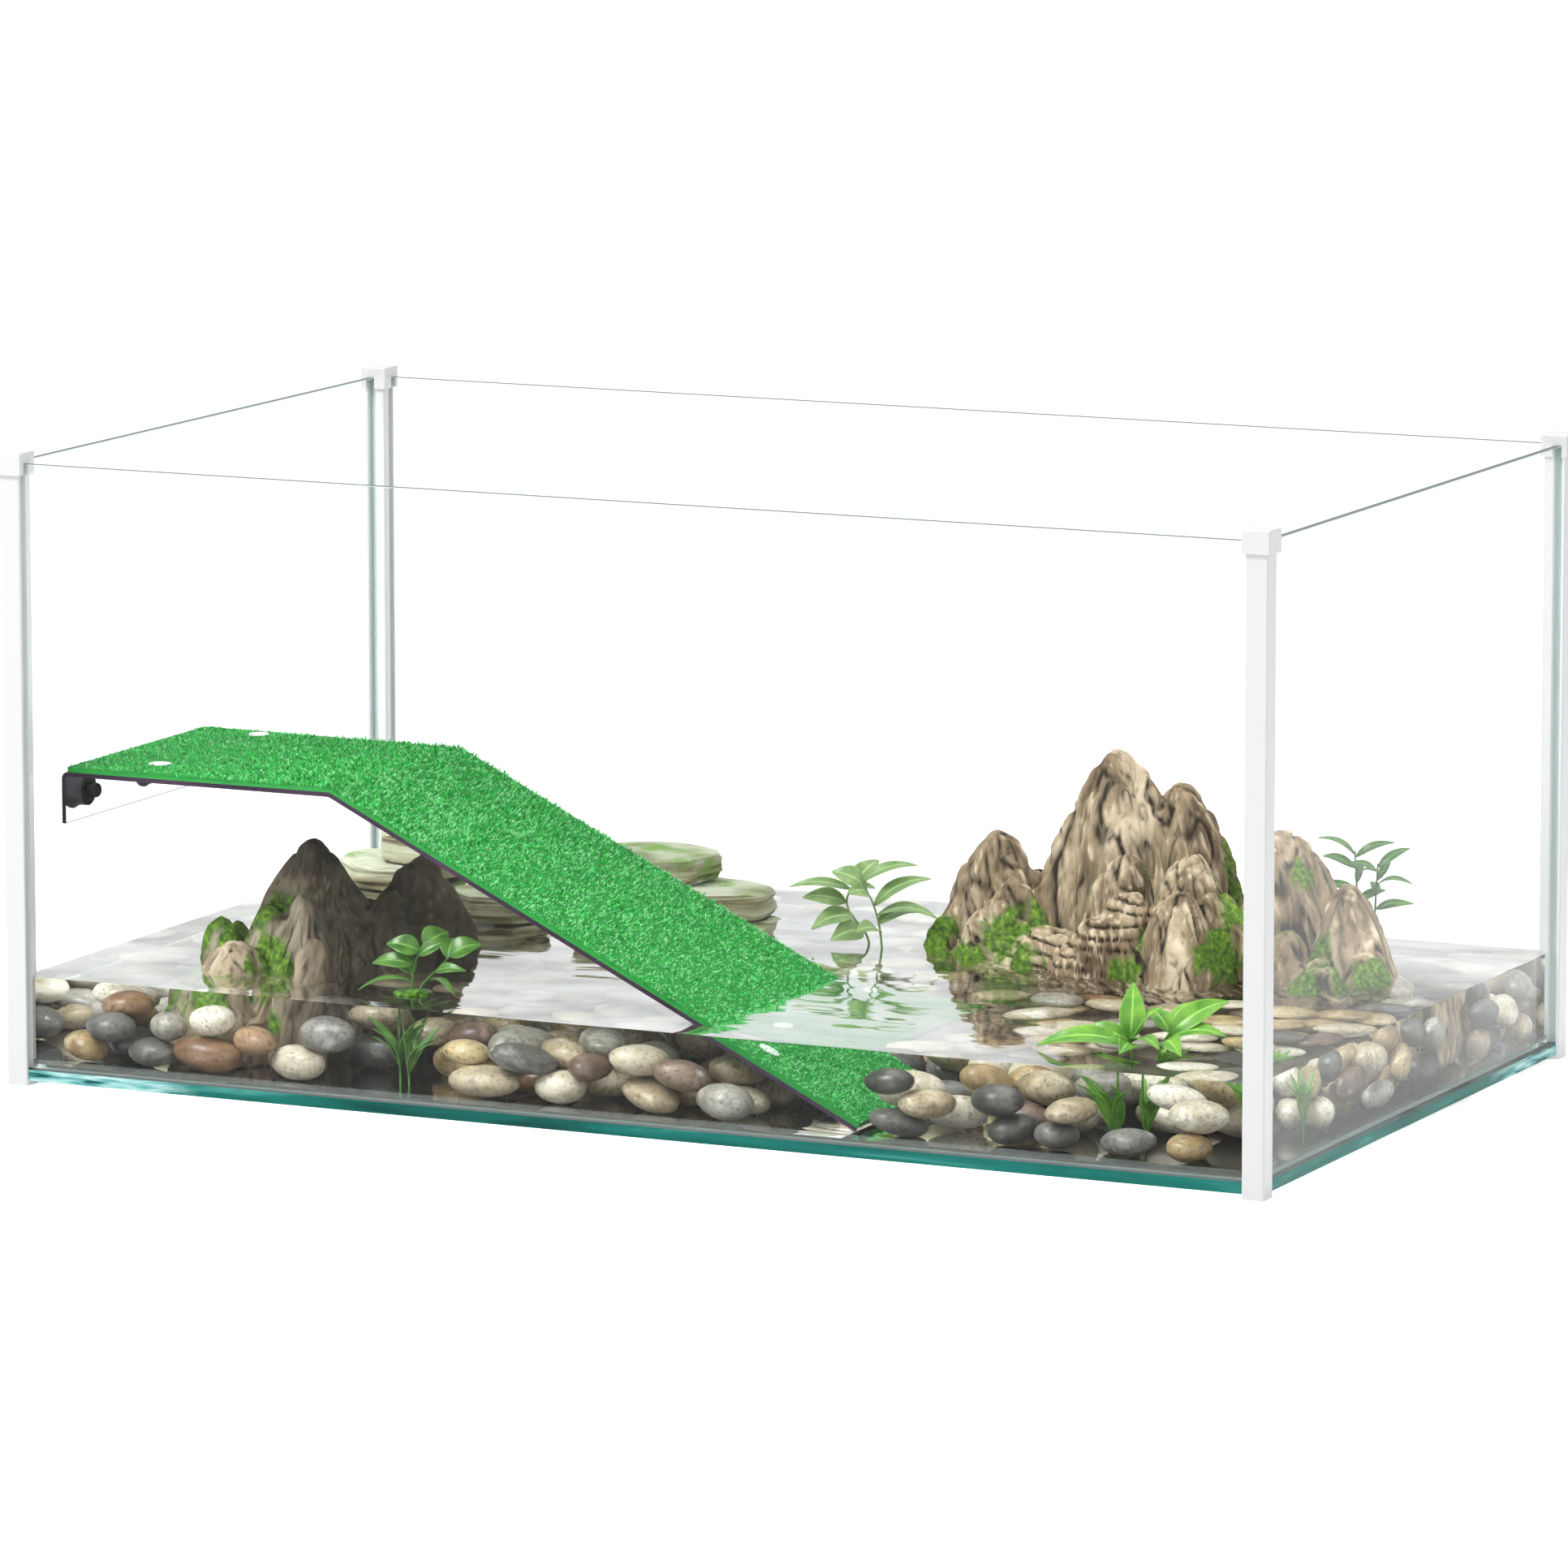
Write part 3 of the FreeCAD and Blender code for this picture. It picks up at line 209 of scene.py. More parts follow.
def working_copy(node, name):
    """A new object with a merged copy of a node's mesh."""
    mesh = nodes[node].data.copy()
    mesh.materials.clear()
    return normals_outward(new_piece(name, mesh), merge=True)


def edit_upper_faces(piece, limit):
    """Enter edit mode with only those faces selected whose normal rises above a limit."""
    select_only(piece)
    bpy.ops.object.mode_set(mode="EDIT")
    shell = bmesh.from_edit_mesh(piece.data)
    for face in shell.faces:
        face.select = face.normal.z > limit
    shell.select_flush_mode()
    bmesh.update_edit_mesh(piece.data)


def modified(piece, kind, **settings):
    """Add a modifier, set it and apply it."""
    select_only(piece)
    bpy.ops.object.modifier_add(type=kind)
    modifier = piece.modifiers[-1]
    for name, value in settings.items():
        setattr(modifier, name, value)
    bpy.ops.object.modifier_apply(modifier=modifier.name)
    return piece


def subdivided(piece, levels, simple=False):
    method = "SIMPLE" if simple else "CATMULL_CLARK"
    return modified(piece, "SUBSURF", levels=levels, render_levels=levels, subdivision_type=method)


def dress(piece, material, slot=None, *replaced, smooth=None):
    """Give a finished piece its material, its body and the nodes it stands for."""
    piece.data.materials.clear()
    piece.data.materials.append(material)
    if smooth is not None:
        select_only(piece)
        bpy.ops.object.shade_smooth_by_angle(angle=math.radians(smooth))
    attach(piece, "root")
    if replaced:
        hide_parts(*replaced)
    return piece


def coat(names, material, smooth=None):
    """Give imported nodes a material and, up to an angle in degrees, smooth shading."""
    for name in names:
        mesh = nodes[name].data
        mesh.materials.clear()
        mesh.materials.append(material)
        if smooth is not None:
            select_only(nodes[name])
            bpy.ops.object.shade_smooth_by_angle(angle=math.radians(smooth))


def write_points(mesh, points):
    mesh.vertices.foreach_set("co", np.asarray(points, np.float32).ravel())
    mesh.update()


def read_points(mesh):
    points = np.zeros(len(mesh.vertices) * 3, np.float32)
    mesh.vertices.foreach_get("co", points)
    return points.reshape(-1, 3).astype(float)


def point_values(mesh, name, values):
    """Store one number for each vertex, for a material to read."""
    layer = mesh.attributes.new(name, "FLOAT", "POINT")
    layer.data.foreach_set("value", np.asarray(values, np.float32))


def even_values(mesh, **values):
    """Store the same number for every vertex under each of these names."""
    for name, value in values.items():
        point_values(mesh, name, [value] * len(mesh.vertices))


def clamped(value):
    return min(1.0, max(0.0, value))


def drift(place, x, y, z):
    """Smooth noise from about -1 to 1, with its own scale along each axis."""
    return noise.noise(Vector((place[0] * x, place[1] * y, place[2] * z)))


def fractal(place, octaves):
    """Smooth noise from about -1 to 1."""
    total, size, scale = 0.0, 1.0, 1.0
    for _ in range(octaves):
        total += size * noise.noise(place * scale)
        size *= 0.5
        scale *= 2.1
    return total


# Material helpers

class Finish:
    """A material or a world under construction: nodes are added by type and linked by name."""

    def __init__(self, name, world=False):
        blocks = bpy.data.worlds if world else bpy.data.materials
        self.block = blocks.new(name)
        self.block.use_nodes = True
        self.tree = self.block.node_tree
        self.tree.nodes.clear()
        self.out = self.add("OutputWorld" if world else "OutputMaterial")

    def add(self, kind, values=None, **properties):
        """Add a node. A value that is a socket is linked, and any other is set."""
        node = self.tree.nodes.new("ShaderNode" + kind)
        for key, value in properties.items():
            setattr(node, key, value)
        for key, value in (values or {}).items():
            socket = node.inputs[key]
            if isinstance(value, bpy.types.NodeSocket):
                self.tree.links.new(value, socket)
            else:
                socket.default_value = value
        return node

    def coordinates(self):
        return self.add("TexCoord").outputs["Object"]

    def noise(self, scale, detail=3.0, roughness=0.5, vector=None, distortion=0.0):
        vector = vector or self.coordinates()
        node = self.add("TexNoise", {
            "Vector": vector, "Scale": scale, "Detail": detail,
            "Roughness": roughness, "Distortion": distortion})
        return node.outputs["Fac"]

    def stretched(self, x, y, z, turn=(0, 0, 0)):
        node = self.add("Mapping", {"Vector": self.coordinates(), "Scale": (x, y, z), "Rotation": turn})
        return node.outputs["Vector"]

    def math(self, operation, first, second=0.0, third=0.0):
        return self.add("Math", {0: first, 1: second, 2: third}, operation=operation).outputs[0]

    def product(self, first, *others):
        for other in others:
            first = self.math("MULTIPLY", first, other)
        return first

    def total(self, first, *others):
        for other in others:
            first = self.math("ADD", first, other)
        return first

    def parts(self, vector):
        """The three parts of a vector, by name or number."""
        return self.add("SeparateXYZ", {"Vector": vector}).outputs

    def ramp(self, factor, *stops):
        """Colour ramp. Each stop is a position and a colour or a grey."""
        node = self.add("ValToRGB", {"Fac": factor})
        elements = node.color_ramp.elements
        while len(elements) < len(stops):
            elements.new(0.5)
        for element, (position, colour) in zip(elements, stops):
            if not hasattr(colour, "__len__"):
                colour = (colour, colour, colour)
            element.position = position
            element.color = (*colour[:3], 1.0)
        return node.outputs["Color"]

    def blend(self, factor, first, second, mode="MIX"):
        node = self.add("Mix", data_type="RGBA", blend_type=mode, clamp_factor=True)
        for index, value in ((0, factor), (6, first), (7, second)):
            if isinstance(value, bpy.types.NodeSocket):
                self.tree.links.new(value, node.inputs[index])
            elif index:
                node.inputs[index].default_value = (*value[:3], 1.0)
            else:
                node.inputs[index].default_value = value
        return node.outputs[2]

    def attribute(self, name):
        return self.add("Attribute", attribute_name=name).outputs["Fac"]

    def bump(self, height, strength, distance):
        return self.add("Bump", {
            "Height": height, "Strength": strength, "Distance": distance}).outputs["Normal"]

    def principled(self, **values):
        renamed = {key.replace("_", " "): value for key, value in values.items()}
        return self.add("BsdfPrincipled", renamed).outputs["BSDF"]

    def simple(self, kind, colour, **values):
        """Shader of one colour."""
        return self.add(kind, {"Color": colour, **values}).outputs[0]

    def mix_shader(self, factor, first, second):
        return self.add("MixShader", {0: factor, 1: first, 2: second}).outputs[0]

    def shows_background(self):
        """One for rays that show what lies behind: straight, mirrored or through glass."""
        rays = self.add("LightPath").outputs
        seen = self.math("MAXIMUM", rays["Is Camera Ray"], rays["Is Glossy Ray"])
        return self.math("MAXIMUM", seen, rays["Is Transmission Ray"])

    def done(self, surface):
        self.tree.links.new(surface, self.out.inputs["Surface"])
        return self.block

    def lets_lamps_through(self, surface, colour):
        """Clear to the lamps' shadow rays, so that what is behind is lit."""
        ray = self.add("LightPath").outputs["Is Shadow Ray"]
        clear = self.simple("BsdfTransparent", (*colour, 1.0))
        return self.mix_shader(ray, surface, clear)


def facing_axis(finish, axis):
    """One where a face looks along an axis, nought where it looks across it."""
    normal = finish.add("NewGeometry").outputs["True Normal"]
    size = finish.math("ABSOLUTE", finish.parts(normal)[axis])
    return finish.math("GREATER_THAN", size, 0.9)


def grainy(name, grain, stops, relief, roughness, specular=0.5):
    """Plain finish with one fine grain in its colour and its surface."""
    finish = Finish(name)
    pattern = finish.noise(*grain)
    tone = finish.ramp(pattern, *stops)
    bump = finish.bump(pattern, *relief)
    return finish.done(finish.principled(
        Base_Color=tone, Roughness=roughness, Specular_IOR_Level=specular, Normal=bump))


# Glass box

def pane_glass(axis, reflection):
    settings = bpy.context.scene.tank_glass
    finish = Finish("pane_glass_" + axis.lower())
    wide = facing_axis(finish, axis)
    clear = finish.principled(
        Base_Color=(*settings.tint, 1), Roughness=0.0, IOR=THIN_SHEET, Transmission_Weight=1.0,
        Coat_Weight=reflection, Coat_Roughness=0.0, Coat_IOR=1.5)
    dull = finish.noise(60.0, 2.0)
    rim_colour = finish.blend(dull, settings.rim, (0.72, 0.84, 0.82))
    ground = finish.simple("BsdfDiffuse", rim_colour)
    through = finish.simple("BsdfTransparent", (0.86, 0.95, 0.94, 1))
    rim = finish.mix_shader(0.55, ground, through)
    upper = finish.simple("BsdfDiffuse", (0.24, 0.26, 0.26, 1))
    rim = finish.mix_shader(facing_axis(finish, "Z"), rim, upper)
    surface = finish.mix_shader(wide, rim, clear)
    return finish.done(finish.lets_lamps_through(surface, settings.tint))


def base_glass():
    settings = bpy.context.scene.tank_glass
    finish = Finish("base_glass")
    flat = facing_axis(finish, "Z")
    streak = finish.noise(4.0, 4.0, vector=finish.stretched(2.2, 2.2, 26.0), distortion=0.6)
    teal = finish.ramp(
        streak, (0.30, (0.002, 0.035, 0.03)), (0.44, settings.base_edge[:]),
        (0.60, (0.012, 0.19, 0.16)), (0.74, (0.10, 0.42, 0.37)))
    place = finish.parts(finish.coordinates())
    # The left and back ends of the base's edge get painted glints: pale aqua stripes along a slanted
    # pattern
    left_end = finish.ramp(finish.product(place["X"], -1.0), (0.205, 0.0), (0.225, 1.0))
    back_end = finish.ramp(place["Y"], (0.085, 0.0), (0.12, 1.0))
    ends = finish.math("MAXIMUM", left_end, back_end)
    diagonal = finish.add("Mapping", {
        "Vector": finish.coordinates(), "Rotation": (0, 0.9, 0.5), "Scale": (12.0, 12.0, 110.0)})
    glints = finish.noise(4.0, 2.0, vector=diagonal.outputs["Vector"])
    glint_aqua = finish.ramp(
        glints, (0.34, (0.01, 0.10, 0.10)), (0.44, (0.16, 0.48, 0.48)),
        (0.56, (0.42, 0.74, 0.72)), (0.68, (0.78, 0.92, 0.90)))
    teal = finish.blend(ends, teal, glint_aqua)
    edge = finish.principled(Base_Color=teal, Roughness=0.25, Specular_IOR_Level=0.12)
    clear = finish.principled(
        Base_Color=(0.86, 0.96, 0.94, 1), Roughness=0.0, IOR=1.5, Transmission_Weight=1.0)
    surface = finish.mix_shader(flat, edge, clear)
    return finish.done(finish.lets_lamps_through(surface, (0.9, 0.97, 0.95)))


def white_plastic():
    settings = bpy.context.scene.tank_glass
    finish = Finish("white_plastic")
    cloud = finish.noise(9.0, 3.0)
    tone = finish.blend(cloud, settings.plastic[:], [0.955 * c for c in settings.plastic])
    grain = finish.noise(900.0, 2.0)
    bump = finish.bump(grain, 0.05, 0.05 * MM)
    rough = finish.math("MULTIPLY_ADD", finish.noise(45.0, 3.0), 0.08, 0.2)
    return finish.done(finish.principled(
        Base_Color=tone, Roughness=rough, IOR=1.48, Coat_Weight=0.25, Coat_Roughness=0.08, Normal=bump))


def silicone():
    finish = Finish("clear_silicone")
    lumps = finish.bump(finish.noise(160.0, 2.0), 0.2, 0.3 * MM)
    tone = finish.ramp(finish.noise(30.0), (0.3, (0.62, 0.68, 0.66)), (0.7, (0.74, 0.79, 0.77)))
    gel = finish.principled(Base_Color=tone, Roughness=0.28, IOR=1.41, Normal=lumps)
    plain = finish.simple("BsdfTransparent", (0.95, 0.97, 0.96, 1))
    return finish.done(finish.mix_shader(0.08, plain, gel))


class TANK_OT_glass_box(bpy.types.Operator):
    """Finish the panes, base, posts, caps and silicone bead"""

    bl_idname = "tank.glass_box"
    bl_label = "Glass box"

    def execute(self, context):
        reflection = context.scene.tank_glass.reflection
        coat(("front_pane", "back_pane"), pane_glass("Y", reflection))
        coat(("left_pane", "right_pane"), pane_glass("X", reflection * 4))
        coat(("base_pane",), base_glass())
        posts = ["corner_post_" + corner for corner in CORNERS]
        caps = ["post_cap_" + corner for corner in CORNERS]
        coat(posts + caps, white_plastic(), smooth=35)
        coat(("silicone_bead",), silicone())
        return {"FINISHED"}


# Ramp

def acrylic():
    finish = Finish("clear_acrylic")
    edge_on = facing_axis(finish, "Y")
    clear = finish.principled(
        Base_Color=(0.94, 0.94, 0.955, 1), Roughness=0.0, IOR=THIN_SHEET, Transmission_Weight=1.0,
        Coat_Weight=0.12, Coat_Roughness=0.0, Coat_IOR=1.49)
    tone = finish.ramp(
        finish.noise(14.0, 3.0), (0.3, (0.012, 0.008, 0.014)), (0.7, (0.055, 0.03, 0.06)))
    edge = finish.principled(Base_Color=tone, Roughness=0.4, Specular_IOR_Level=0.1)
    surface = finish.mix_shader(edge_on, clear, edge)
    place = finish.parts(finish.coordinates())
    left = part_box("ramp_plate")[0].x + 4 * MM
    lower_edge = finish.product(
        facing_axis(finish, "Z"), finish.math("LESS_THAN", place["X"], left))
    grey = finish.simple("BsdfTransparent", (0.45, 0.45, 0.47, 1))
    surface = finish.mix_shader(lower_edge, surface, grey)
    return finish.done(finish.lets_lamps_through(surface, (0.95, 0.96, 0.97)))


def rivet_plastic():
    return grainy(
        "white_rivet", (500.0, 2.0), ((0.3, 0.74), (0.7, 0.83)), (0.06, 0.05 * MM), 0.3)


def cup_rubber():
    tones = ((0.3, (0.009, 0.009, 0.01)), (0.7, (0.022, 0.022, 0.024)))
    return grainy("black_rubber", (700.0, 3.0), tones, (0.12, 0.08 * MM), 0.6, 0.1)


def turf_blades():
    settings = bpy.context.scene.tank_ramp
    green = settings.green
    finish = Finish("turf_blades")
    shade = finish.attribute("shade")
    height = finish.attribute("height")
    dark = [0.10 * c for c in green]
    light = (green[0] * 6.0 + 0.16, min(1.0, green[1] * 1.25), green[2] * 3.0 + 0.14)
    hue = finish.ramp(
        shade, (0.20, dark), (0.40, [0.55 * c for c in green]), (0.56, green[:]), (0.80, light))
    # Each blade darkens towards its root: painted shade from the blades around it
    shaded = finish.blend(height, [0.34 * c for c in green], hue)
    blade = finish.principled(Base_Color=shaded, Roughness=0.55, Specular_IOR_Level=0.2)
    through = finish.simple("BsdfTranslucent", shaded)
    return finish.done(finish.mix_shader(0.25, blade, through))


def turf_surface():
    """Triangles of the turf mat's upper side, as corners and normals."""
    mesh = nodes["turf_mat"].data
    mesh.calc_loop_triangles()
    found = []
    for triangle in mesh.loop_triangles:
        corners = [mesh.vertices[i].co.copy() for i in triangle.vertices]
        normal = (corners[1] - corners[0]).cross(corners[2] - corners[0])
        if normal.z > 1e-12 and normal.normalized().z > 0.3:
            found.append((corners, normal.normalized(), normal.length / 2))
    return found


def make_turf():
    """Backing sheet with a pile of short bent blades on it."""
    settings = bpy.context.scene.tank_ramp
    low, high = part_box("turf_mat")
    sink = TURF_THICKNESS - settings.backing
    backing = working_copy("turf_mat", "turf_pile")
    edit_upper_faces(backing, 0.3)
    bpy.ops.transform.shrink_fatten(value=-sink)
    bpy.ops.object.mode_set(mode="OBJECT")

    rng = random.Random(bpy.context.scene.tank_stone.seed)
    surface = turf_surface()
    weights = [area for _, _, area in surface]
    chosen = rng.choices(range(len(surface)), weights, k=settings.blades)
    points, faces, shades, heights = [], [], [], []
    for number in chosen:
        (a, b, c), normal, _ = surface[number]
        u, v = rng.random(), rng.random()
        if u + v > 1:
            u, v = 1 - u, 1 - v
        root = a + (b - a) * u + (c - a) * v - normal * sink
        lean = Vector((rng.gauss(0, 1), rng.gauss(0, 1), 0)) * 0.55
        side = Vector((rng.gauss(0, 1), rng.gauss(0, 1), 0.2)).cross(normal).normalized()
        length = settings.blade_length * rng.uniform(0.62, 1.0)
        wide = settings.blade_width * rng.uniform(0.6, 1.1)
        grow = (normal + lean).normalized()
        bend = (normal * 0.55 + lean * 1.6).normalized()
        middle = root + grow * length * 0.55
        tip = middle + bend * length * 0.45
        tip.x = min(max(tip.x, low.x - 0.3 * MM), high.x + 0.3 * MM)
        tip.y = min(max(tip.y, low.y - 0.3 * MM), high.y + 0.3 * MM)
        start = len(points)
        points += [root - side * wide / 2, root + side * wide / 2,
                   middle + side * wide * 0.36, middle - side * wide * 0.36, tip]
        faces += [(start, start + 1, start + 2, start + 3), (start + 3, start + 2, start + 4)]
        stroke = Vector((root.x + root.y * 0.5, root.y - root.x * 0.5, root.z)) / MM
        paler = 0.15 if normal.z < 0.97 else 0.0
        shade = rng.gauss(0.53, 0.16) + 0.75 * drift(stroke, 0.62, 0.24, 0.4) + paler
        shades += [clamped(shade)] * 5
        heights += [0.0, 0.0, 0.62, 0.62, 1.0]
    mesh = bpy.data.meshes.new("turf_blades")
    mesh.from_pydata(points, [], faces)
    point_values(mesh, "shade", shades)
    point_values(mesh, "height", heights)
    # The backing takes the dark root colour too: painted shade under the pile
    even_values(backing.data, shade=0.2, height=0.15)
    select_only(backing, new_piece("turf_blades", mesh))
    bpy.ops.object.join()
    return dress(backing, turf_blades(), "green_turf", "turf_mat")


class TANK_OT_ramp(bpy.types.Operator):
    """Finish the ramp's sheet, rivets and suction cups, and grow its turf"""

    bl_idname = "tank.ramp"
    bl_label = "Ramp"

    def execute(self, context):
        coat(("ramp_plate",), acrylic())
        coat(named("turf_rivet"), rivet_plastic(), smooth=30)
        coat(named("suction_cup"), cup_rubber(), smooth=30)
        make_turf()
        return {"FINISHED"}


# Stones

class Carving:
    """How a rock's surface is cut, where moss grows and where it is pale. Lengths are in mm."""

    def __init__(self, moss, pale, ledges, waists, slant, depth):
        self.moss, self.pale, self.ledges, self.waists = moss, pale, ledges, waists
        self.slant, self.depth = slant, depth

    def pinch(self, place):
        """How far a point of a peak moves towards the peak's axis, which narrows its upper part."""
        shift = Vector((0, 0, 0))
        for x, y, low, high, reach, amount in self.waists:
            away = Vector((place.x - x, place.y - y, 0))
            near = max(0.0, 1 - (away.length / reach) ** 4)
            rise = clamped((place.z - low) / (high - low))
            shift -= away * near * amount * rise * (1.6 - 0.6 * rise)
        return shift

    def creases(self, place):
        """Narrow run-off creases between rounded folds, and finer ones on the folds."""
        x, y, z = place
        bend = 2.5 * noise.noise(place * 0.04)
        run = Vector((x * 0.085 + z * self.slant + bend * 0.2, y * 0.085, z * 0.021 + bend * 0.3))
        wide = max(0.0, 1 - 7.0 * abs(noise.noise(run)))
        fine = max(0.0, 1 - 5.0 * abs(noise.noise(run * 2.7 + Vector((7, 3, 1)))))
        skew = z * self.slant * 4
        stroke = noise.noise(Vector((x * 0.34 + skew, y * 0.34, z * 0.07)))
        stroke += 0.6 * noise.noise(Vector((x * 0.7 + skew * 2, y * 0.7, z * 0.14)))
        return wide * self.depth, fine * self.depth, stroke

    def strata(self, place):
        """How far a point belongs to a split ledge, and how deep it lies between two sheets."""
        share = 0.0
        for x, y, z, radius in self.ledges:
            share = max(share, 2.2 * (1 - (place - Vector((x, y, z))).length / radius))
        level = place.z + 0.12 * place.x - 0.06 * place.y + 2.0 * noise.noise(place * 0.07)
        part = level / LEDGE_SHEET - math.floor(level / LEDGE_SHEET)
        return clamped(share), max(0.0, 1 - 6.5 * abs(part - 0.5))

    def cover(self, spots, place, rise):
        """Cover by the spots of a list, from nought to one, with an edge that runs up in streaks."""
        found = 0.0
        for x, y, z, radius in spots:
            found = max(found, 1 - (place - Vector((x, y, z))).length / radius)
        if found <= 0.0:
            return 0.0
        streak = Vector((place.x * 0.13, place.y * 0.13, place.z * 0.045))
        ragged = fractal(streak, 3) + 0.3 * noise.noise(place * 0.4)
        return clamped(1.7 * (found + 0.5 * ragged - 0.02 + rise))


def carve(node, name, carving, swell):
    """Refine a copy of a rock, cut its surface and record its painted crease shade, moss and pale
    places.
    """
    scale = bpy.context.scene.tank_stone.carving / (1.7 * MM)
    rock = subdivided(working_copy(node, name), 1, simple=True)
    points = read_points(rock.data)
    for vertex, point in zip(rock.data.vertices, points):
        above = clamped((point[2] / MM - SHOULDER) / SHOULDER_RISE)
        out = Vector((vertex.normal.x, vertex.normal.y, min(0.0, vertex.normal.z)))
        point += np.array(out * above * swell + carving.pinch(Vector(point) / MM)) * MM
    write_points(rock.data, points)
    rock = subdivided(rock, 2)
    mesh = rock.data
    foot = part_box(node)[0].z / MM
    points = read_points(mesh)
    crease_shades, mosses, pales, moved = [], [], [], []
    for vertex, point in zip(mesh.vertices, points):
        place = Vector(point) / MM
        wide, fine, stroke = carving.creases(place)
        lumps = noise.noise(place * 0.06) + 0.5 * noise.noise(place * 0.14)
        grit = noise.noise(place * 0.9)
        fade = clamped((place.z - foot) / FOOT_FADE)
        moss = carving.cover(carving.moss, place, 0.1 * vertex.normal.z)
        # How far each pattern lifts or cuts the surface, and how much painted shade it gets
        cut = 1.1 * lumps - 1.9 * wide - 0.9 * fine + 0.5 * stroke + 0.15 * grit
        crease_shade = 0.28 + 0.5 * wide + 0.3 * fine - 0.26 * stroke - 0.12 * lumps
        ledge, split = carving.strata(place)
        cut += ledge * (0.8 * lumps - 2.4 * split + 0.3 * stroke - cut)
        crease_shade += ledge * (0.22 + 0.7 * split - 0.2 * stroke - crease_shade)
        tuft = moss * (1.1 + 0.6 * noise.noise(place * 1.3))
        move = (cut * (1 - 0.4 * moss) * scale + tuft) * fade
        moved.append(Vector(point) + vertex.normal * move * MM)
        crease_shades.append(crease_shade)
        mosses.append(moss)
        pales.append(carving.cover(carving.pale, place, 0.1))
    write_points(mesh, [tuple(p) for p in moved])
    for label, values in (("crease_shade", crease_shades), ("moss", mosses), ("pale", pales)):
        point_values(mesh, label, values)
    return rock


def rock_finish(name, light, middle, dark, stain, crown=0.0):
    """Matte cast stone: painted highlight on the folds, painted shade in the creases, stains, and moss
    where it grows.
    """
    finish = Finish(name)
    crease_shade = finish.attribute("crease_shade")
    moss = finish.attribute("moss")
    pale = finish.attribute("pale")
    streaks = finish.noise(60.0, 6.0, 0.66, finish.stretched(1.0, 1.0, 0.25, (0.0, 0.3, 0.0)), 0.3)
    stone = finish.ramp(streaks, (0.34, dark), (0.5, middle), (0.66, light))
    tan = finish.ramp(
        streaks, (0.32, (0.20, 0.145, 0.09)), (0.5, (0.40, 0.32, 0.22)), (0.68, (0.60, 0.52, 0.40)))
    stone = finish.blend(pale, stone, tan)
    clouds = finish.noise(16.0, 4.0, 0.55)
    stained = finish.blend(finish.ramp(clouds, (0.52, 0.0), (0.66, 0.65)), stone, stain)
    # Painted shade darkens the creases and the gaps between ledge sheets, and a painted highlight
    # lightens the ridges
    crease_shade_mask = finish.ramp(crease_shade, (0.36, 0.0), (0.70, 1.0))
    with_crease_shade = finish.blend(crease_shade_mask, stained, [0.28 * c for c in dark])
    ridge_highlight_mask = finish.ramp(crease_shade, (0.08, 0.85), (0.27, 0.0))
    with_ridge_highlight = finish.blend(ridge_highlight_mask, with_crease_shade, [min(1.0, 1.2 * c) for c in light])
    place = finish.parts(finish.coordinates())
    height = finish.total(place["Z"], finish.product(clouds, 0.02))
    top = finish.ramp(height, (0.090, 0.0), (0.100, crown))
    along = finish.total(place["X"], 0.3)
    far_peak = finish.ramp(along, (0.108, 0.0), (0.130, 0.75 * crown))
    shaded = finish.math("MAXIMUM", top, far_peak)
    with_ridge_highlight = finish.blend(shaded, with_ridge_highlight, [0.8 * c for c in dark])
    speckle = finish.noise(420.0, 3.0, 0.7)
    green = finish.ramp(
        speckle, (0.3, (0.010, 0.038, 0.002)), (0.43, (0.04, 0.12, 0.004)),
        (0.56, (0.105, 0.24, 0.008)), (0.70, (0.26, 0.44, 0.03)))
    cover = finish.total(moss, finish.product(streaks, 0.5))
    cover = finish.ramp(cover, (0.42, 0.0), (0.95, 0.92))
    tone = finish.blend(cover, with_ridge_highlight, green)
    grain = finish.bump(finish.noise(380.0, 5.0, 0.65), 0.45, 0.5 * MM)
    return finish.done(finish.principled(
        Base_Color=tone, Roughness=0.82, Specular_IOR_Level=0.3, Normal=grain))


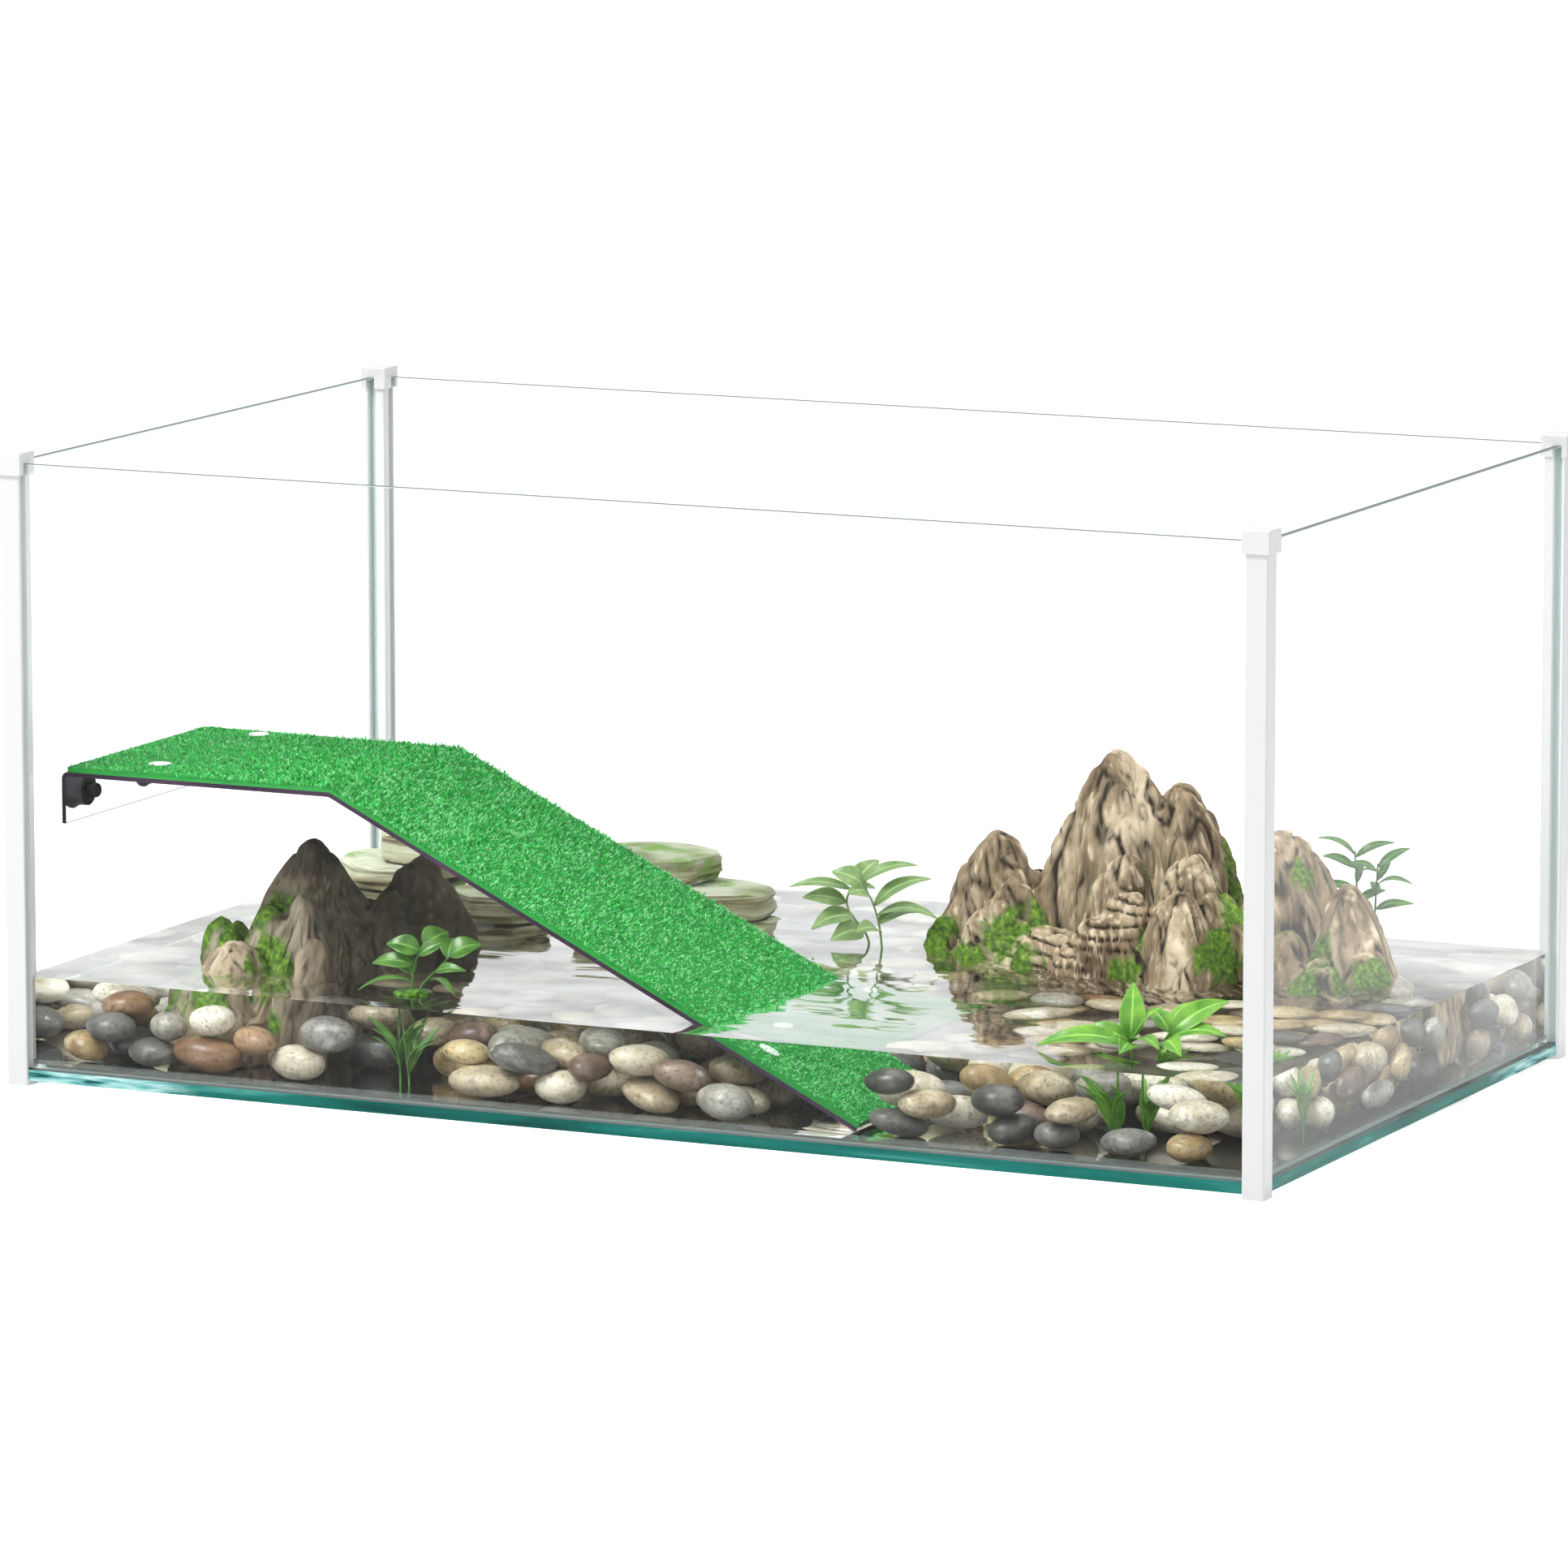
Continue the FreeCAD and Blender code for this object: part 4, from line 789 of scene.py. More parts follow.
class TANK_OT_rocks(bpy.types.Operator):
    """Carve the two rock ornaments"""

    bl_idname = "tank.rocks"
    bl_label = "Rocks"

    def execute(self, context):
        moss = [
            (38, 62, 50, 17), (54, 50, 44, 14), (68, 42, 44, 12), (84, 50, 56, 17),
            (100, 62, 66, 17), (112, 66, 78, 14), (98, 32, 48, 12), (152, 58, 94, 13),
            (152, 68, 102, 12), (160, 32, 62, 12), (150, 24, 52, 12), (190, 34, 60, 18),
            (196, 46, 80, 15), (186, 68, 92, 15), (216, 60, 62, 17), (246, 42, 54, 18),
            (256, 56, 52, 16), (230, 26, 50, 12), (217, 42, 80, 13), (212, 84, 92, 12),
            (170, 130, 80, 26), (90, 140, 60, 28), (30, 88, 50, 18),
        ]
        ledges = [
            (143, 42, 78, 16), (136, 32, 68, 20), (104, 40, 56, 24), (128, 30, 54, 22),
            (86, 42, 48, 16),
        ]
        cut = Carving(moss, [], ledges, [], 0.03, 0.75)
        rock = carve("right_rock", "carved_right_rock", cut, 2.4)
        tan = rock_finish(
            "tan_rock", (0.66, 0.55, 0.395), (0.35, 0.265, 0.165), (0.11, 0.075, 0.042),
            (0.21, 0.145, 0.08))
        dress(rock, tan, "tan_rock", "right_rock", smooth=75)
        moss = [
            (-238, -100, 60, 15), (-226, -106, 58, 11), (-246, -66, 52, 16), (-206, -108, 54, 12),
            (-196, -116, 50, 15), (-216, -92, 66, 13), (-166, -108, 44, 12), (-212, -136, 34, 16),
            (-236, -120, 34, 18), (-186, -136, 32, 12), (-210, -92, 74, 10),
        ]
        pale = [(-216, -120, 50, 27), (-174, -124, 56, 21), (-200, -128, 24, 44)]
        waists = [(-202, -75, 60, 98, 36, 0.36), (-166, -37, 58, 90, 32, 0.22)]
        cut = Carving(moss, pale, [], waists, -0.02, 0.34)
        rock = carve("left_rock", "carved_left_rock", cut, 1.2)
        brown = rock_finish(
            "brown_rock", (0.34, 0.295, 0.215), (0.215, 0.18, 0.125), (0.075, 0.06, 0.043),
            (0.125, 0.105, 0.068), crown=0.85)
        dress(rock, brown, "brown_rock", "left_rock", smooth=75)
        return {"FINISHED"}


def slate_finish():
    finish = Finish("green_slate")
    layers = finish.noise(30.0, 5.0, 0.6, finish.stretched(0.35, 0.35, 5.0, (0.04, 0.03, 0.0)), 0.5)
    up = finish.parts(finish.add("NewGeometry").outputs["Normal"])["Z"]
    side = finish.ramp(
        layers, (0.38, (0.04, 0.03, 0.016)), (0.45, (0.27, 0.245, 0.14)),
        (0.60, (0.50, 0.51, 0.36)))
    patches = finish.noise(22.0, 4.0, 0.55)
    top = finish.ramp(
        patches, (0.36, (0.20, 0.23, 0.12)), (0.48, (0.42, 0.46, 0.32)), (0.62, (0.62, 0.65, 0.52)))
    tone = finish.blend(finish.ramp(up, (0.45, 0.0), (0.8, 1.0)), side, top)
    growth = finish.noise(34.0, 5.0, 0.6)
    moss = finish.ramp(growth, (0.56, 0.0), (0.66, 0.85))
    tone = finish.blend(moss, tone, (0.13, 0.30, 0.03))
    bump = finish.bump(finish.noise(260.0, 5.0, 0.65), 0.4, 0.5 * MM)
    return finish.done(finish.principled(
        Base_Color=tone, Roughness=0.78, Specular_IOR_Level=0.3, Normal=bump))


class TANK_OT_slates(bpy.types.Operator):
    """Split and chip the slates of the stack"""

    bl_idname = "tank.slates"
    bl_label = "Slates"

    def execute(self, context):
        finish = slate_finish()
        rng = random.Random(context.scene.tank_stone.seed)
        for name in named("slate_"):
            stone = working_copy(name, "split_" + name)
            stone = subdivided(stone, 2, simple=True)
            stone = subdivided(stone, 1)
            points = read_points(stone.data)
            middle = (points.max(0) + points.min(0)) / 2
            half = (points.max(0) - points.min(0)) / 2
            breaks = []
            for number in range(SLATE_BREAKS):
                turn = math.tau * (number + rng.uniform(-0.35, 0.35)) / SLATE_BREAKS
                way = np.array((math.cos(turn), math.sin(turn), rng.uniform(-0.3, 0.1)))
                reach = math.hypot(way[0] * half[0], way[1] * half[1])
                breaks.append((way, reach * rng.uniform(0.78, 0.95)))
            moved = []
            for vertex, point in zip(stone.data.vertices, points):
                sheet = math.floor(point[2] / MM / SLATE_SHEET)
                for number, (way, reach) in enumerate(breaks):
                    step = noise.noise(Vector((number * 3.1, sheet * 1.9, reach / MM)))
                    over = float((point - middle) @ way) - reach * (1 + 0.07 * step)
                    if over > 0:
                        point[:2] -= over * way[:2]
                place = Vector(point) / MM
                flat = abs(vertex.normal.z)
                on_sheet = (place.x, place.y, sheet)
                layer = drift(on_sheet, 0.035, 0.035, 1.7)
                chip = drift(on_sheet, 0.10, 0.10, 0.4)
                bite = drift(on_sheet, 0.022, 0.022, 0.2)
                swell = drift(place, 0.045, 0.045, 0.02)
                edge = 1.6 * layer + 1.5 * chip + 1.5 * bite - 0.6
                move = (1 - flat) * edge + flat * (0.9 * swell - 0.3)
                moved.append(tuple(Vector(point) + vertex.normal * move * MM))
            write_points(stone.data, moved)
            dress(stone, finish, "green_slate", name, smooth=40)
        return {"FINISHED"}


PEBBLE_TONES = {
    "pebbles_cream": ((0.69, 0.63, 0.49), (0.50, 0.43, 0.30), (0.86, 0.82, 0.72)),
    "pebbles_ochre": ((0.42, 0.29, 0.135), (0.24, 0.155, 0.065), (0.62, 0.50, 0.29)),
    "pebbles_sand": ((0.45, 0.365, 0.235), (0.27, 0.21, 0.125), (0.64, 0.56, 0.41)),
    "pebbles_pale_grey": ((0.37, 0.35, 0.295), (0.21, 0.195, 0.16), (0.58, 0.56, 0.49)),
    "pebbles_dark_grey": ((0.085, 0.082, 0.074), (0.035, 0.034, 0.03), (0.18, 0.175, 0.16)),
    "pebbles_slate_blue": ((0.145, 0.14, 0.122), (0.065, 0.062, 0.053), (0.30, 0.29, 0.26)),
    "pebbles_plum": ((0.155, 0.098, 0.068), (0.085, 0.052, 0.036), (0.28, 0.20, 0.15)),
    "pebbles_russet": ((0.28, 0.155, 0.08), (0.17, 0.085, 0.04), (0.45, 0.30, 0.18)),
}


def pebble_finish(name, middle, dark, light):
    """Water-worn stone: soft bands, mottling, fine speckle and a vein on some."""
    finish = Finish(name + "_finish")
    tint = finish.attribute("tint")
    band = finish.attribute("band")
    vein = finish.attribute("vein")
    mottle = finish.noise(70.0, 5.0, 0.68, distortion=0.5)
    stone = finish.ramp(mottle, (0.38, dark), (0.5, middle), (0.63, light))
    banded = finish.blend(
        finish.ramp(band, (0.35, 0.0), (0.62, 0.55)), stone, [0.72 * c for c in middle])
    tinted = finish.blend(finish.ramp(tint, (0.0, 0.55), (0.5, 0.0)), banded, dark)
    lifted = finish.blend(finish.ramp(tint, (0.55, 0.0), (1.0, 0.6)), tinted, light)
    speckle = finish.noise(520.0, 3.0, 0.7)
    peppered = finish.blend(
        finish.ramp(speckle, (0.53, 0.0), (0.64, 0.7)), lifted, [0.4 * c for c in dark])
    veined = finish.blend(vein, peppered, (0.80, 0.78, 0.74))
    pits = finish.bump(finish.noise(520.0, 4.0, 0.6), 0.16, 0.2 * MM)
    rough = finish.math("MULTIPLY_ADD", mottle, 0.2, 0.26)
    return finish.done(finish.principled(
        Base_Color=veined, Roughness=rough, Specular_IOR_Level=0.5,
        Coat_Weight=0.15, Coat_Roughness=0.2, Normal=pits))


def loose_parts(mesh):
    """Groups of vertex numbers that hang together."""
    owner = list(range(len(mesh.vertices)))

    def root(n):
        while owner[n] != n:
            owner[n] = owner[owner[n]]
            n = owner[n]
        return n

    for edge in mesh.edges:
        a, b = root(edge.vertices[0]), root(edge.vertices[1])
        if a != b:
            owner[a] = b
    groups = {}
    for n in range(len(owner)):
        groups.setdefault(root(n), []).append(n)
    return [groups[key] for key in sorted(groups)]


def fitted_ellipsoid(points):
    """Centre and axes of the ellipsoid through a cloud of points, as a 3 by 3 array of half axes."""
    centre = points.mean(0)
    x, y, z = (points - centre).T
    rows = np.stack([x * x, y * y, z * z, 2 * x * y, 2 * x * z, 2 * y * z], 1)
    a, b, c, d, e, f = np.linalg.lstsq(rows, np.ones(len(points)), rcond=None)[0]
    values, ways = np.linalg.eigh(np.array([[a, d, e], [d, b, f], [e, f, c]]))
    return centre, ways / np.sqrt(values)


def make_pebbles(node, master, rng):
    """One smooth, slightly uneven stone for each pebble of a node."""
    source = working_copy(node, "smooth_" + node)
    points = read_points(source.data)
    unit = read_points(master.data)
    faces = [tuple(p.vertices) for p in master.data.polygons]
    all_points, all_faces = [], []
    tints, bands, veins = [], [], []
    vein_share = 0.5 if node in ("pebbles_plum", "pebbles_slate_blue") else 0.1
    for group in loose_parts(source.data):
        centre, axes = fitted_ellipsoid(points[group])
        offset = Vector([rng.uniform(-50, 50) for _ in range(3)])
        tint = rng.random()
        stripe = Vector([rng.gauss(0, 1) for _ in range(3)]).normalized()
        striped = rng.random() < 0.3
        has_vein = rng.random() < vein_share
        level = rng.uniform(-0.3, 0.4)
        start = len(all_points)
        for u in unit:
            way = Vector(u)
            size = 0.95 + 0.07 * noise.noise(way * 0.9 + offset)
            size += 0.018 * noise.noise(way * 2.6 + offset)
            all_points.append(centre + axes @ (u * size))
            along = way.dot(stripe)
            wave = along + 0.12 * noise.noise(way * 2 + offset)
            bands.append(0.5 + 0.5 * math.sin(wave * 13) if striped else 0.0)
            veins.append(max(0.0, 1 - abs(wave - level) * 26) if has_vein else 0.0)
        tints += [tint] * len(unit)
        all_faces += [tuple(start + n for n in face) for face in faces]
    mesh = bpy.data.meshes.new("smooth_" + node)
    mesh.from_pydata([tuple(p) for p in all_points], [], all_faces)
    bpy.data.objects.remove(source)
    piece = normals_outward(new_piece("smooth_" + node, mesh))
    bpy.ops.object.shade_smooth()
    for label, values in (("tint", tints), ("band", bands), ("vein", veins)):
        point_values(mesh, label, values)
    return piece


class TANK_OT_pebbles(bpy.types.Operator):
    """Round every pebble of the bed and finish the dark layer under them, which is painted shade"""

    bl_idname = "tank.pebbles"
    bl_label = "Pebbles"

    def execute(self, context):
        settings = context.scene.tank_stone
        master = primitive(
            bpy.ops.mesh.primitive_ico_sphere_add, subdivisions=settings.pebble_detail, radius=1.0)
        rng = random.Random(settings.seed)
        for node in named("pebbles_"):
            piece = make_pebbles(node, master, rng)
            finish = pebble_finish(node, *PEBBLE_TONES[node])
            dress(piece, finish, node.replace("pebbles_", "pebble_"), node)
        bpy.data.objects.remove(master)
        # The dark layer under the pebbles is painted shade and painted reflection, seen between the
        # pebbles
        tones = (
            (0.3, (0.012, 0.009, 0.006)), (0.55, (0.05, 0.036, 0.024)), (0.75, (0.13, 0.10, 0.07)))
        shade_layer = grainy("dark_soil", (340.0, 5.0, 0.7), tones, (0.8, 0.8 * MM), 0.9)
        coat(("dark_substrate",), shade_layer)
        return {"FINISHED"}


# Plants

class Sprig:
    """A plant: stems through a few points and leaves that grow from them, in millimetres."""

    def __init__(self, node, stems, leaves, light, dark, cushion=False):
        self.node, self.leaves, self.cushion = node, leaves, cushion
        self.stems = [((*points[0][:2], BED), *points) for points in stems]
        self.light, self.dark = light, dark


SPRIGS = (
    Sprig("slender_plant", (
        ((20, 51, 48), (16, 53, 64), (9, 52, 79)),
        ((10, 58, 50), (0, 57, 66), (4, 57, 75)),
    ), (
        (1, 72, 205, 28, 3, 6), (1, 66, 200, 20, 3, 10), (1, 60, 215, 20, -4, 14),
        (1, 54, 240, 17, -2, 13), (1, 73, 60, 14, 12, 11), (1, 70, 350, 13, 5, 8),
        (0, 76, 200, 14, 6, 11), (0, 77, 25, 24, 9, 7), (0, 72, 250, 12, 2, 10),
        (0, 66, 30, 25, 14, 10), (0, 62, 12, 28, 2, 11), (0, 58, 45, 18, 6, 12),
        (0, 55, 255, 15, 3, 11),
    ), (0.46, 0.64, 0.28), (0.17, 0.33, 0.09)),
    Sprig("round_leaf_plant", (
        ((-119, -135, 50), (-118, -133, 62), (-114, -131, 70)),
        ((-114, -137, 50), (-106, -134, 60), (-100, -132, 67)),
    ), (
        (0, 68, 60, 13, 6, 13), (0, 66, 200, 15, 4, 11), (0, 60, 190, 20, 1, 9),
        (0, 56, 170, 12, 8, 11), (0, 64, 20, 13, 7, 7), (1, 65, 25, 14, 6, 13),
        (1, 64, 100, 11, 8, 9), (1, 58, 350, 16, 3, 6), (1, 54, 330, 22, -1, 5),
        (0, 53, 215, 24, -1, 4), (0, 16, 190, 14, 24, 4), (0, 14, 230, 13, 22, 4),
        (0, 16, 330, 12, 25, 4), (1, 15, 20, 14, 22, 4), (1, 14, 290, 13, 20, 4),
        (1, 17, 60, 11, 24, 4),
    ), (0.20, 0.42, 0.08), (0.035, 0.14, 0.02), cushion=True),
    Sprig("broad_leaf_plant", (
        ((216, -123, 48), (215, -122, 54)),
        ((226, -112, 49), (229, -109, 56)),
    ), (
        (0, 52, 100, 6, 24, 12), (0, 51, 30, 12, 16, 10), (0, 50, 203, 40, 2, 11),
        (0, 52, 190, 22, 4, 10), (0, 50, 280, 18, 1, 10), (0, 51, 330, 20, 2, 11),
        (1, 53, 38, 26, 15, 12), (1, 54, 65, 20, 12, 11), (1, 51, 8, 26, 5, 12),
        (1, 54, 150, 13, 9, 9), (1, 50, 310, 22, 0, 11), (0, 14, 195, 15, 26, 6),
        (0, 16, 225, 14, 25, 6), (0, 13, 170, 15, 23, 5), (0, 15, 280, 13, 24, 6),
        (1, 14, 330, 14, 24, 6), (1, 15, 10, 15, 22, 6), (1, 16, 50, 13, 25, 5),
        (1, 14, 110, 12, 23, 5),
    ), (0.30, 0.60, 0.07), (0.06, 0.27, 0.02)),
    Sprig("fine_leaf_plant", (
        ((212, 140, 66), (211, 139, 92)),
        ((222, 136, 64), (224, 134, 88)),
    ), (
        (0, 90, 200, 16, 9, 5), (0, 89, 20, 17, 8, 5), (0, 84, 170, 18, 5, 5),
        (0, 80, 330, 16, 6, 5), (0, 74, 215, 19, 4, 5), (0, 69, 45, 14, 5, 5),
        (0, 77, 100, 13, 9, 4), (1, 86, 40, 15, 9, 5), (1, 84, 235, 16, 6, 5),
        (1, 78, 350, 18, 4, 5), (1, 73, 120, 14, 5, 5), (1, 67, 10, 17, 4, 5),
        (1, 80, 80, 12, 9, 4),
    ), (0.14, 0.40, 0.05), (0.015, 0.09, 0.012)),
    Sprig("side_grass", (
        ((270, -98, 22),),
    ), (
        (0, 14, 200, 12, 27, 5), (0, 12, 250, 11, 25, 5), (0, 15, 150, 12, 27, 5),
        (0, 13, 100, 11, 24, 5), (0, 16, 60, 9, 26, 5), (0, 14, 300, 10, 24, 5),
        (0, 12, 10, 8, 25, 4), (0, 18, 180, 8, 24, 4),
    ), (0.26, 0.55, 0.07), (0.05, 0.24, 0.02)),
)


def leaf_finish(name, light, dark):
    finish = Finish(name)
    across = finish.attribute("across")
    along = finish.attribute("along")
    mottle = finish.noise(120.0, 4.0, 0.6)
    blade = finish.ramp(mottle, (0.3, dark), (0.55, [(a + b) / 2 for a, b in zip(light, dark)]),
                        (0.75, light))
    rib = finish.ramp(across, (0.0, 0.75), (0.16, 0.0))
    ribbed = finish.blend(rib, blade, [min(1.0, 1.35 * c + 0.05) for c in light])
    rim = finish.ramp(across, (0.82, 0.0), (1.0, 0.5))
    rimmed = finish.blend(rim, ribbed, light)
    base = finish.blend(finish.ramp(along, (0.0, 0.6), (0.3, 0.0)), rimmed, dark)
    speckle = finish.ramp(
        finish.noise(420.0, 3.0, 0.7), (0.34, (0.012, 0.06, 0.004)), (0.5, (0.07, 0.25, 0.012)),
        (0.68, (0.30, 0.58, 0.06)))
    base = finish.blend(finish.attribute("cushion"), base, speckle)
    bump = finish.bump(finish.noise(260.0, 3.0), 0.15, 0.2 * MM)
    surface = finish.principled(
        Base_Color=base, Roughness=0.34, Specular_IOR_Level=0.45, Coat_Weight=0.1, Normal=bump)
    through = finish.simple("BsdfTranslucent", base)
    return finish.done(finish.mix_shader(0.3, surface, through))


def leaf_master(rows=9, columns=6):
    """Blade along +X, one long and one wide, with a folded midrib."""
    blade = primitive(
        bpy.ops.mesh.primitive_grid_add, x_subdivisions=rows, y_subdivisions=columns, size=1.0)
    across, along = [], []
    for vertex in blade.data.vertices:
        share = vertex.co.x + 0.5
        side = vertex.co.y * 2
        swell = math.sin(math.pi * min(1.0, share ** 0.82)) ** 0.8 * (1 - 0.12 * share)
        swell = max(0.035, swell)
        vertex.co = (share, side * swell * 0.5, abs(side) ** 1.4 * 0.11 * swell)
        across.append(abs(side))
        along.append(share)
    point_values(blade.data, "across", across)
    point_values(blade.data, "along", along)
    return blade


def place_leaf(master, root, heading, length, lift, breadth, roll):
    """A copy of the blade with its root, heading, arch and droop."""
    mesh = master.data.copy()
    steep = math.atan2(lift, length)
    length = math.hypot(length, lift)
    arch = 0.16 * length
    turn = Matrix.Rotation(heading, 4, "Z") @ Matrix.Rotation(-steep, 4, "Y")
    turn = turn @ Matrix.Rotation(roll, 4, "X")
    for vertex in mesh.vertices:
        share = vertex.co.x
        shape = Vector((share * length, vertex.co.y * breadth, vertex.co.z * breadth))
        shape.z += arch * 4 * share * (1 - share) * 0.8 - 0.10 * length * share ** 3
        vertex.co = (turn @ shape + root) * MM
    return new_piece("leaf", mesh)


def on_stem(points, z):
    for a, b in zip(points, points[1:]):
        if a[2] <= z <= b[2]:
            return Vector(a).lerp(Vector(b), (z - a[2]) / (b[2] - a[2]))
    return Vector(points[-1])


def make_stem(points):
    """Tapered round stem that bends smoothly through its points."""
    curve = bpy.data.curves.new("stem", "CURVE")
    curve.dimensions = "3D"
    curve.bevel_depth = STEM_RADIUS
    curve.bevel_resolution = 3
    curve.use_fill_caps = True
    spline = curve.splines.new("BEZIER")
    spline.bezier_points.add(len(points) - 1)
    for number, (knot, point) in enumerate(zip(spline.bezier_points, points)):
        knot.co = Vector(point) * MM
        knot.handle_left_type = knot.handle_right_type = "AUTO"
        knot.radius = 1 - 0.4 * number / (len(points) - 1)
    select_only(new_piece("stem", curve))
    bpy.ops.object.convert(target="MESH")
    stem = bpy.context.object
    even_values(stem.data, across=0.5, along=0.1)
    return stem


def make_cushion(stem):
    """Lumpy cushion of moss round a stem, at the water's surface."""
    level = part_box("water")[1].z / MM
    middle = on_stem(stem, level)
    cushion = primitive(bpy.ops.mesh.primitive_ico_sphere_add, subdivisions=5, radius=1.0)
    for vertex in cushion.data.vertices:
        way = vertex.co.copy()
        size = 0.86 + 0.16 * noise.noise(way * 2.2) + 0.08 * noise.noise(way * 9)
        vertex.co = (middle + Vector((way.x * 9.5, way.y * 9.5, way.z * 2.2)) * size) * MM
    even_values(cushion.data, across=0.5, along=0.5, cushion=1.0)
    return cushion


class TANK_OT_plants(bpy.types.Operator):
    """Grow the five plants"""

    bl_idname = "tank.plants"
    bl_label = "Plants"

    def execute(self, context):
        rng = random.Random(context.scene.tank_stone.seed)
        master = leaf_master()
        for sprig in SPRIGS:
            pieces = [make_stem(points) for points in sprig.stems]
            for stem, height, heading, length, lift, breadth in sprig.leaves:
                root = on_stem(sprig.stems[stem], height)
                way = math.radians(heading)
                roll = rng.uniform(-0.35, 0.35)
                roll += LEAF_ROLL * (0.43 * math.sin(way) + 0.90 * math.cos(way))
                pieces.append(place_leaf(master, root, way, length, lift, breadth, roll))
                for _ in range(2 if lift > 1.4 * length and height < 20 else 0):
                    way += rng.uniform(-0.5, 0.5)
                    size = rng.uniform(0.7, 1.0)
                    pieces.append(place_leaf(
                        master, root, way, length * size * rng.uniform(0.8, 1.3), lift * size,
                        breadth * 0.9, rng.uniform(-0.5, 0.5)))
            leaves = pieces[len(sprig.stems):]
            select_only(*leaves)
            bpy.ops.object.join()
            blades = modified(leaves[0], "SOLIDIFY", thickness=LEAF_THICKNESS, offset=0)
            subdivided(blades, 1)
            stems = pieces[:len(sprig.stems)]
            if sprig.cushion:
                stems.append(make_cushion(sprig.stems[0]))
            select_only(stems[0], blades, *stems[1:])
            bpy.ops.object.join()
            plant = stems[0]
            plant.name = "leafy_" + sprig.node
            finish = leaf_finish(sprig.node + "_finish", sprig.light, sprig.dark)
            dress(plant, finish, "green_leaf", sprig.node, smooth=60)
        bpy.data.objects.remove(master)
        return {"FINISHED"}


# Water

def water_finish():
    settings = bpy.context.scene.tank_water
    finish = Finish("still_water")
    up = finish.parts(finish.add("NewGeometry").outputs["True Normal"])["Z"]
    top = finish.math("GREATER_THAN", up, 0.6)
    waves = finish.noise(9.0, 3.0, 0.5, finish.stretched(1.0, 2.6, 1.0, (0, 0, 0.35)), 0.8)
    bump = finish.bump(waves, 0.12, 3.0 * MM)
    clear = finish.principled(
        Base_Color=(0.975, 0.99, 0.985, 1), Roughness=0.0, IOR=WATER_INDEX,
        Transmission_Weight=1.0, Specular_Tint=(0.3, 0.3, 0.3, 1), Normal=bump)
    low_angle = finish.add("LayerWeight", {"Blend": 0.5, "Normal": bump}).outputs["Facing"]
    glance = finish.ramp(low_angle, (0.62, 0.0), (0.86, 1.0))
    shallows = finish.noise(6.0, 3.0, 0.5, finish.stretched(1.0, 2.0, 1.0), 1.2)
    gaps = finish.ramp(shallows, (0.40, 0.55), (0.56, 1.0))
    amount = finish.product(glance, gaps, top, settings.sheen)
    place = finish.parts(finish.coordinates())
    # Towards the right front the surface mirrors less and shows more of what is under it
    across = finish.total(
        finish.product(place["X"], 0.85), finish.product(place["Y"], 0.53),
        finish.product(shallows, 0.09))
    shaded = finish.product(
        finish.ramp(across, (0.10, 0.0), (0.16, 1.0)),
        finish.ramp(place["Y"], (0.03, 1.0), (0.10, 0.0)))
    amount = finish.product(amount, finish.math("SUBTRACT", 1.0, shaded))
    still = finish.simple(
        "BsdfRefraction", (0.975, 0.99, 0.985, 1), Roughness=0.0, IOR=WATER_INDEX, Normal=bump)
    clear = finish.mix_shader(finish.product(shaded, 0.7), clear, still)
    sky = finish.simple("BsdfGlossy", (0.98, 0.985, 0.99, 1), Roughness=0.04, Normal=bump)
    surface = finish.mix_shader(amount, clear, sky)
    return finish.done(finish.lets_lamps_through(surface, (0.95, 0.97, 0.97)))


class TANK_OT_water(bpy.types.Operator):
    """Fill the tank with water up to its level"""

    bl_idname = "tank.water"
    bl_label = "Water"

    def execute(self, context):
        settings = context.scene.tank_water
        left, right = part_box("left_pane")[1].x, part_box("right_pane")[0].x
        front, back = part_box("front_pane")[1].y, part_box("back_pane")[0].y
        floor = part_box("dark_substrate")[1].z + 0.05 * MM
        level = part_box("water")[1].z
        gap = settings.wall_gap
        size = Vector((right - left - 2 * gap, back - front - 2 * gap, level - floor))
        middle = Vector(((left + right) / 2, (front + back) / 2, (level + floor) / 2))
        water = primitive(bpy.ops.mesh.primitive_cube_add, size=1.0)
        water.name = "still_water"
        water.data.transform(Matrix.Translation(middle) @ Matrix.Diagonal((*size, 1)))
        edit_upper_faces(water, 0.5)
        bpy.ops.mesh.subdivide(number_cuts=WATER_CUTS, ngon=False)
        bpy.ops.object.mode_set(mode="OBJECT")
        points = read_points(water.data)
        for point in points:
            if abs(point[2] - level) < 0.01 * MM:
                place = Vector((point[0] * 16, point[1] * 42, 0.0))
                point[2] += settings.ripple * (fractal(place, 2) - 0.6)
        write_points(water.data, points)
        dress(water, water_finish(), "water", "water", smooth=40)
        return {"FINISHED"}


# Studio

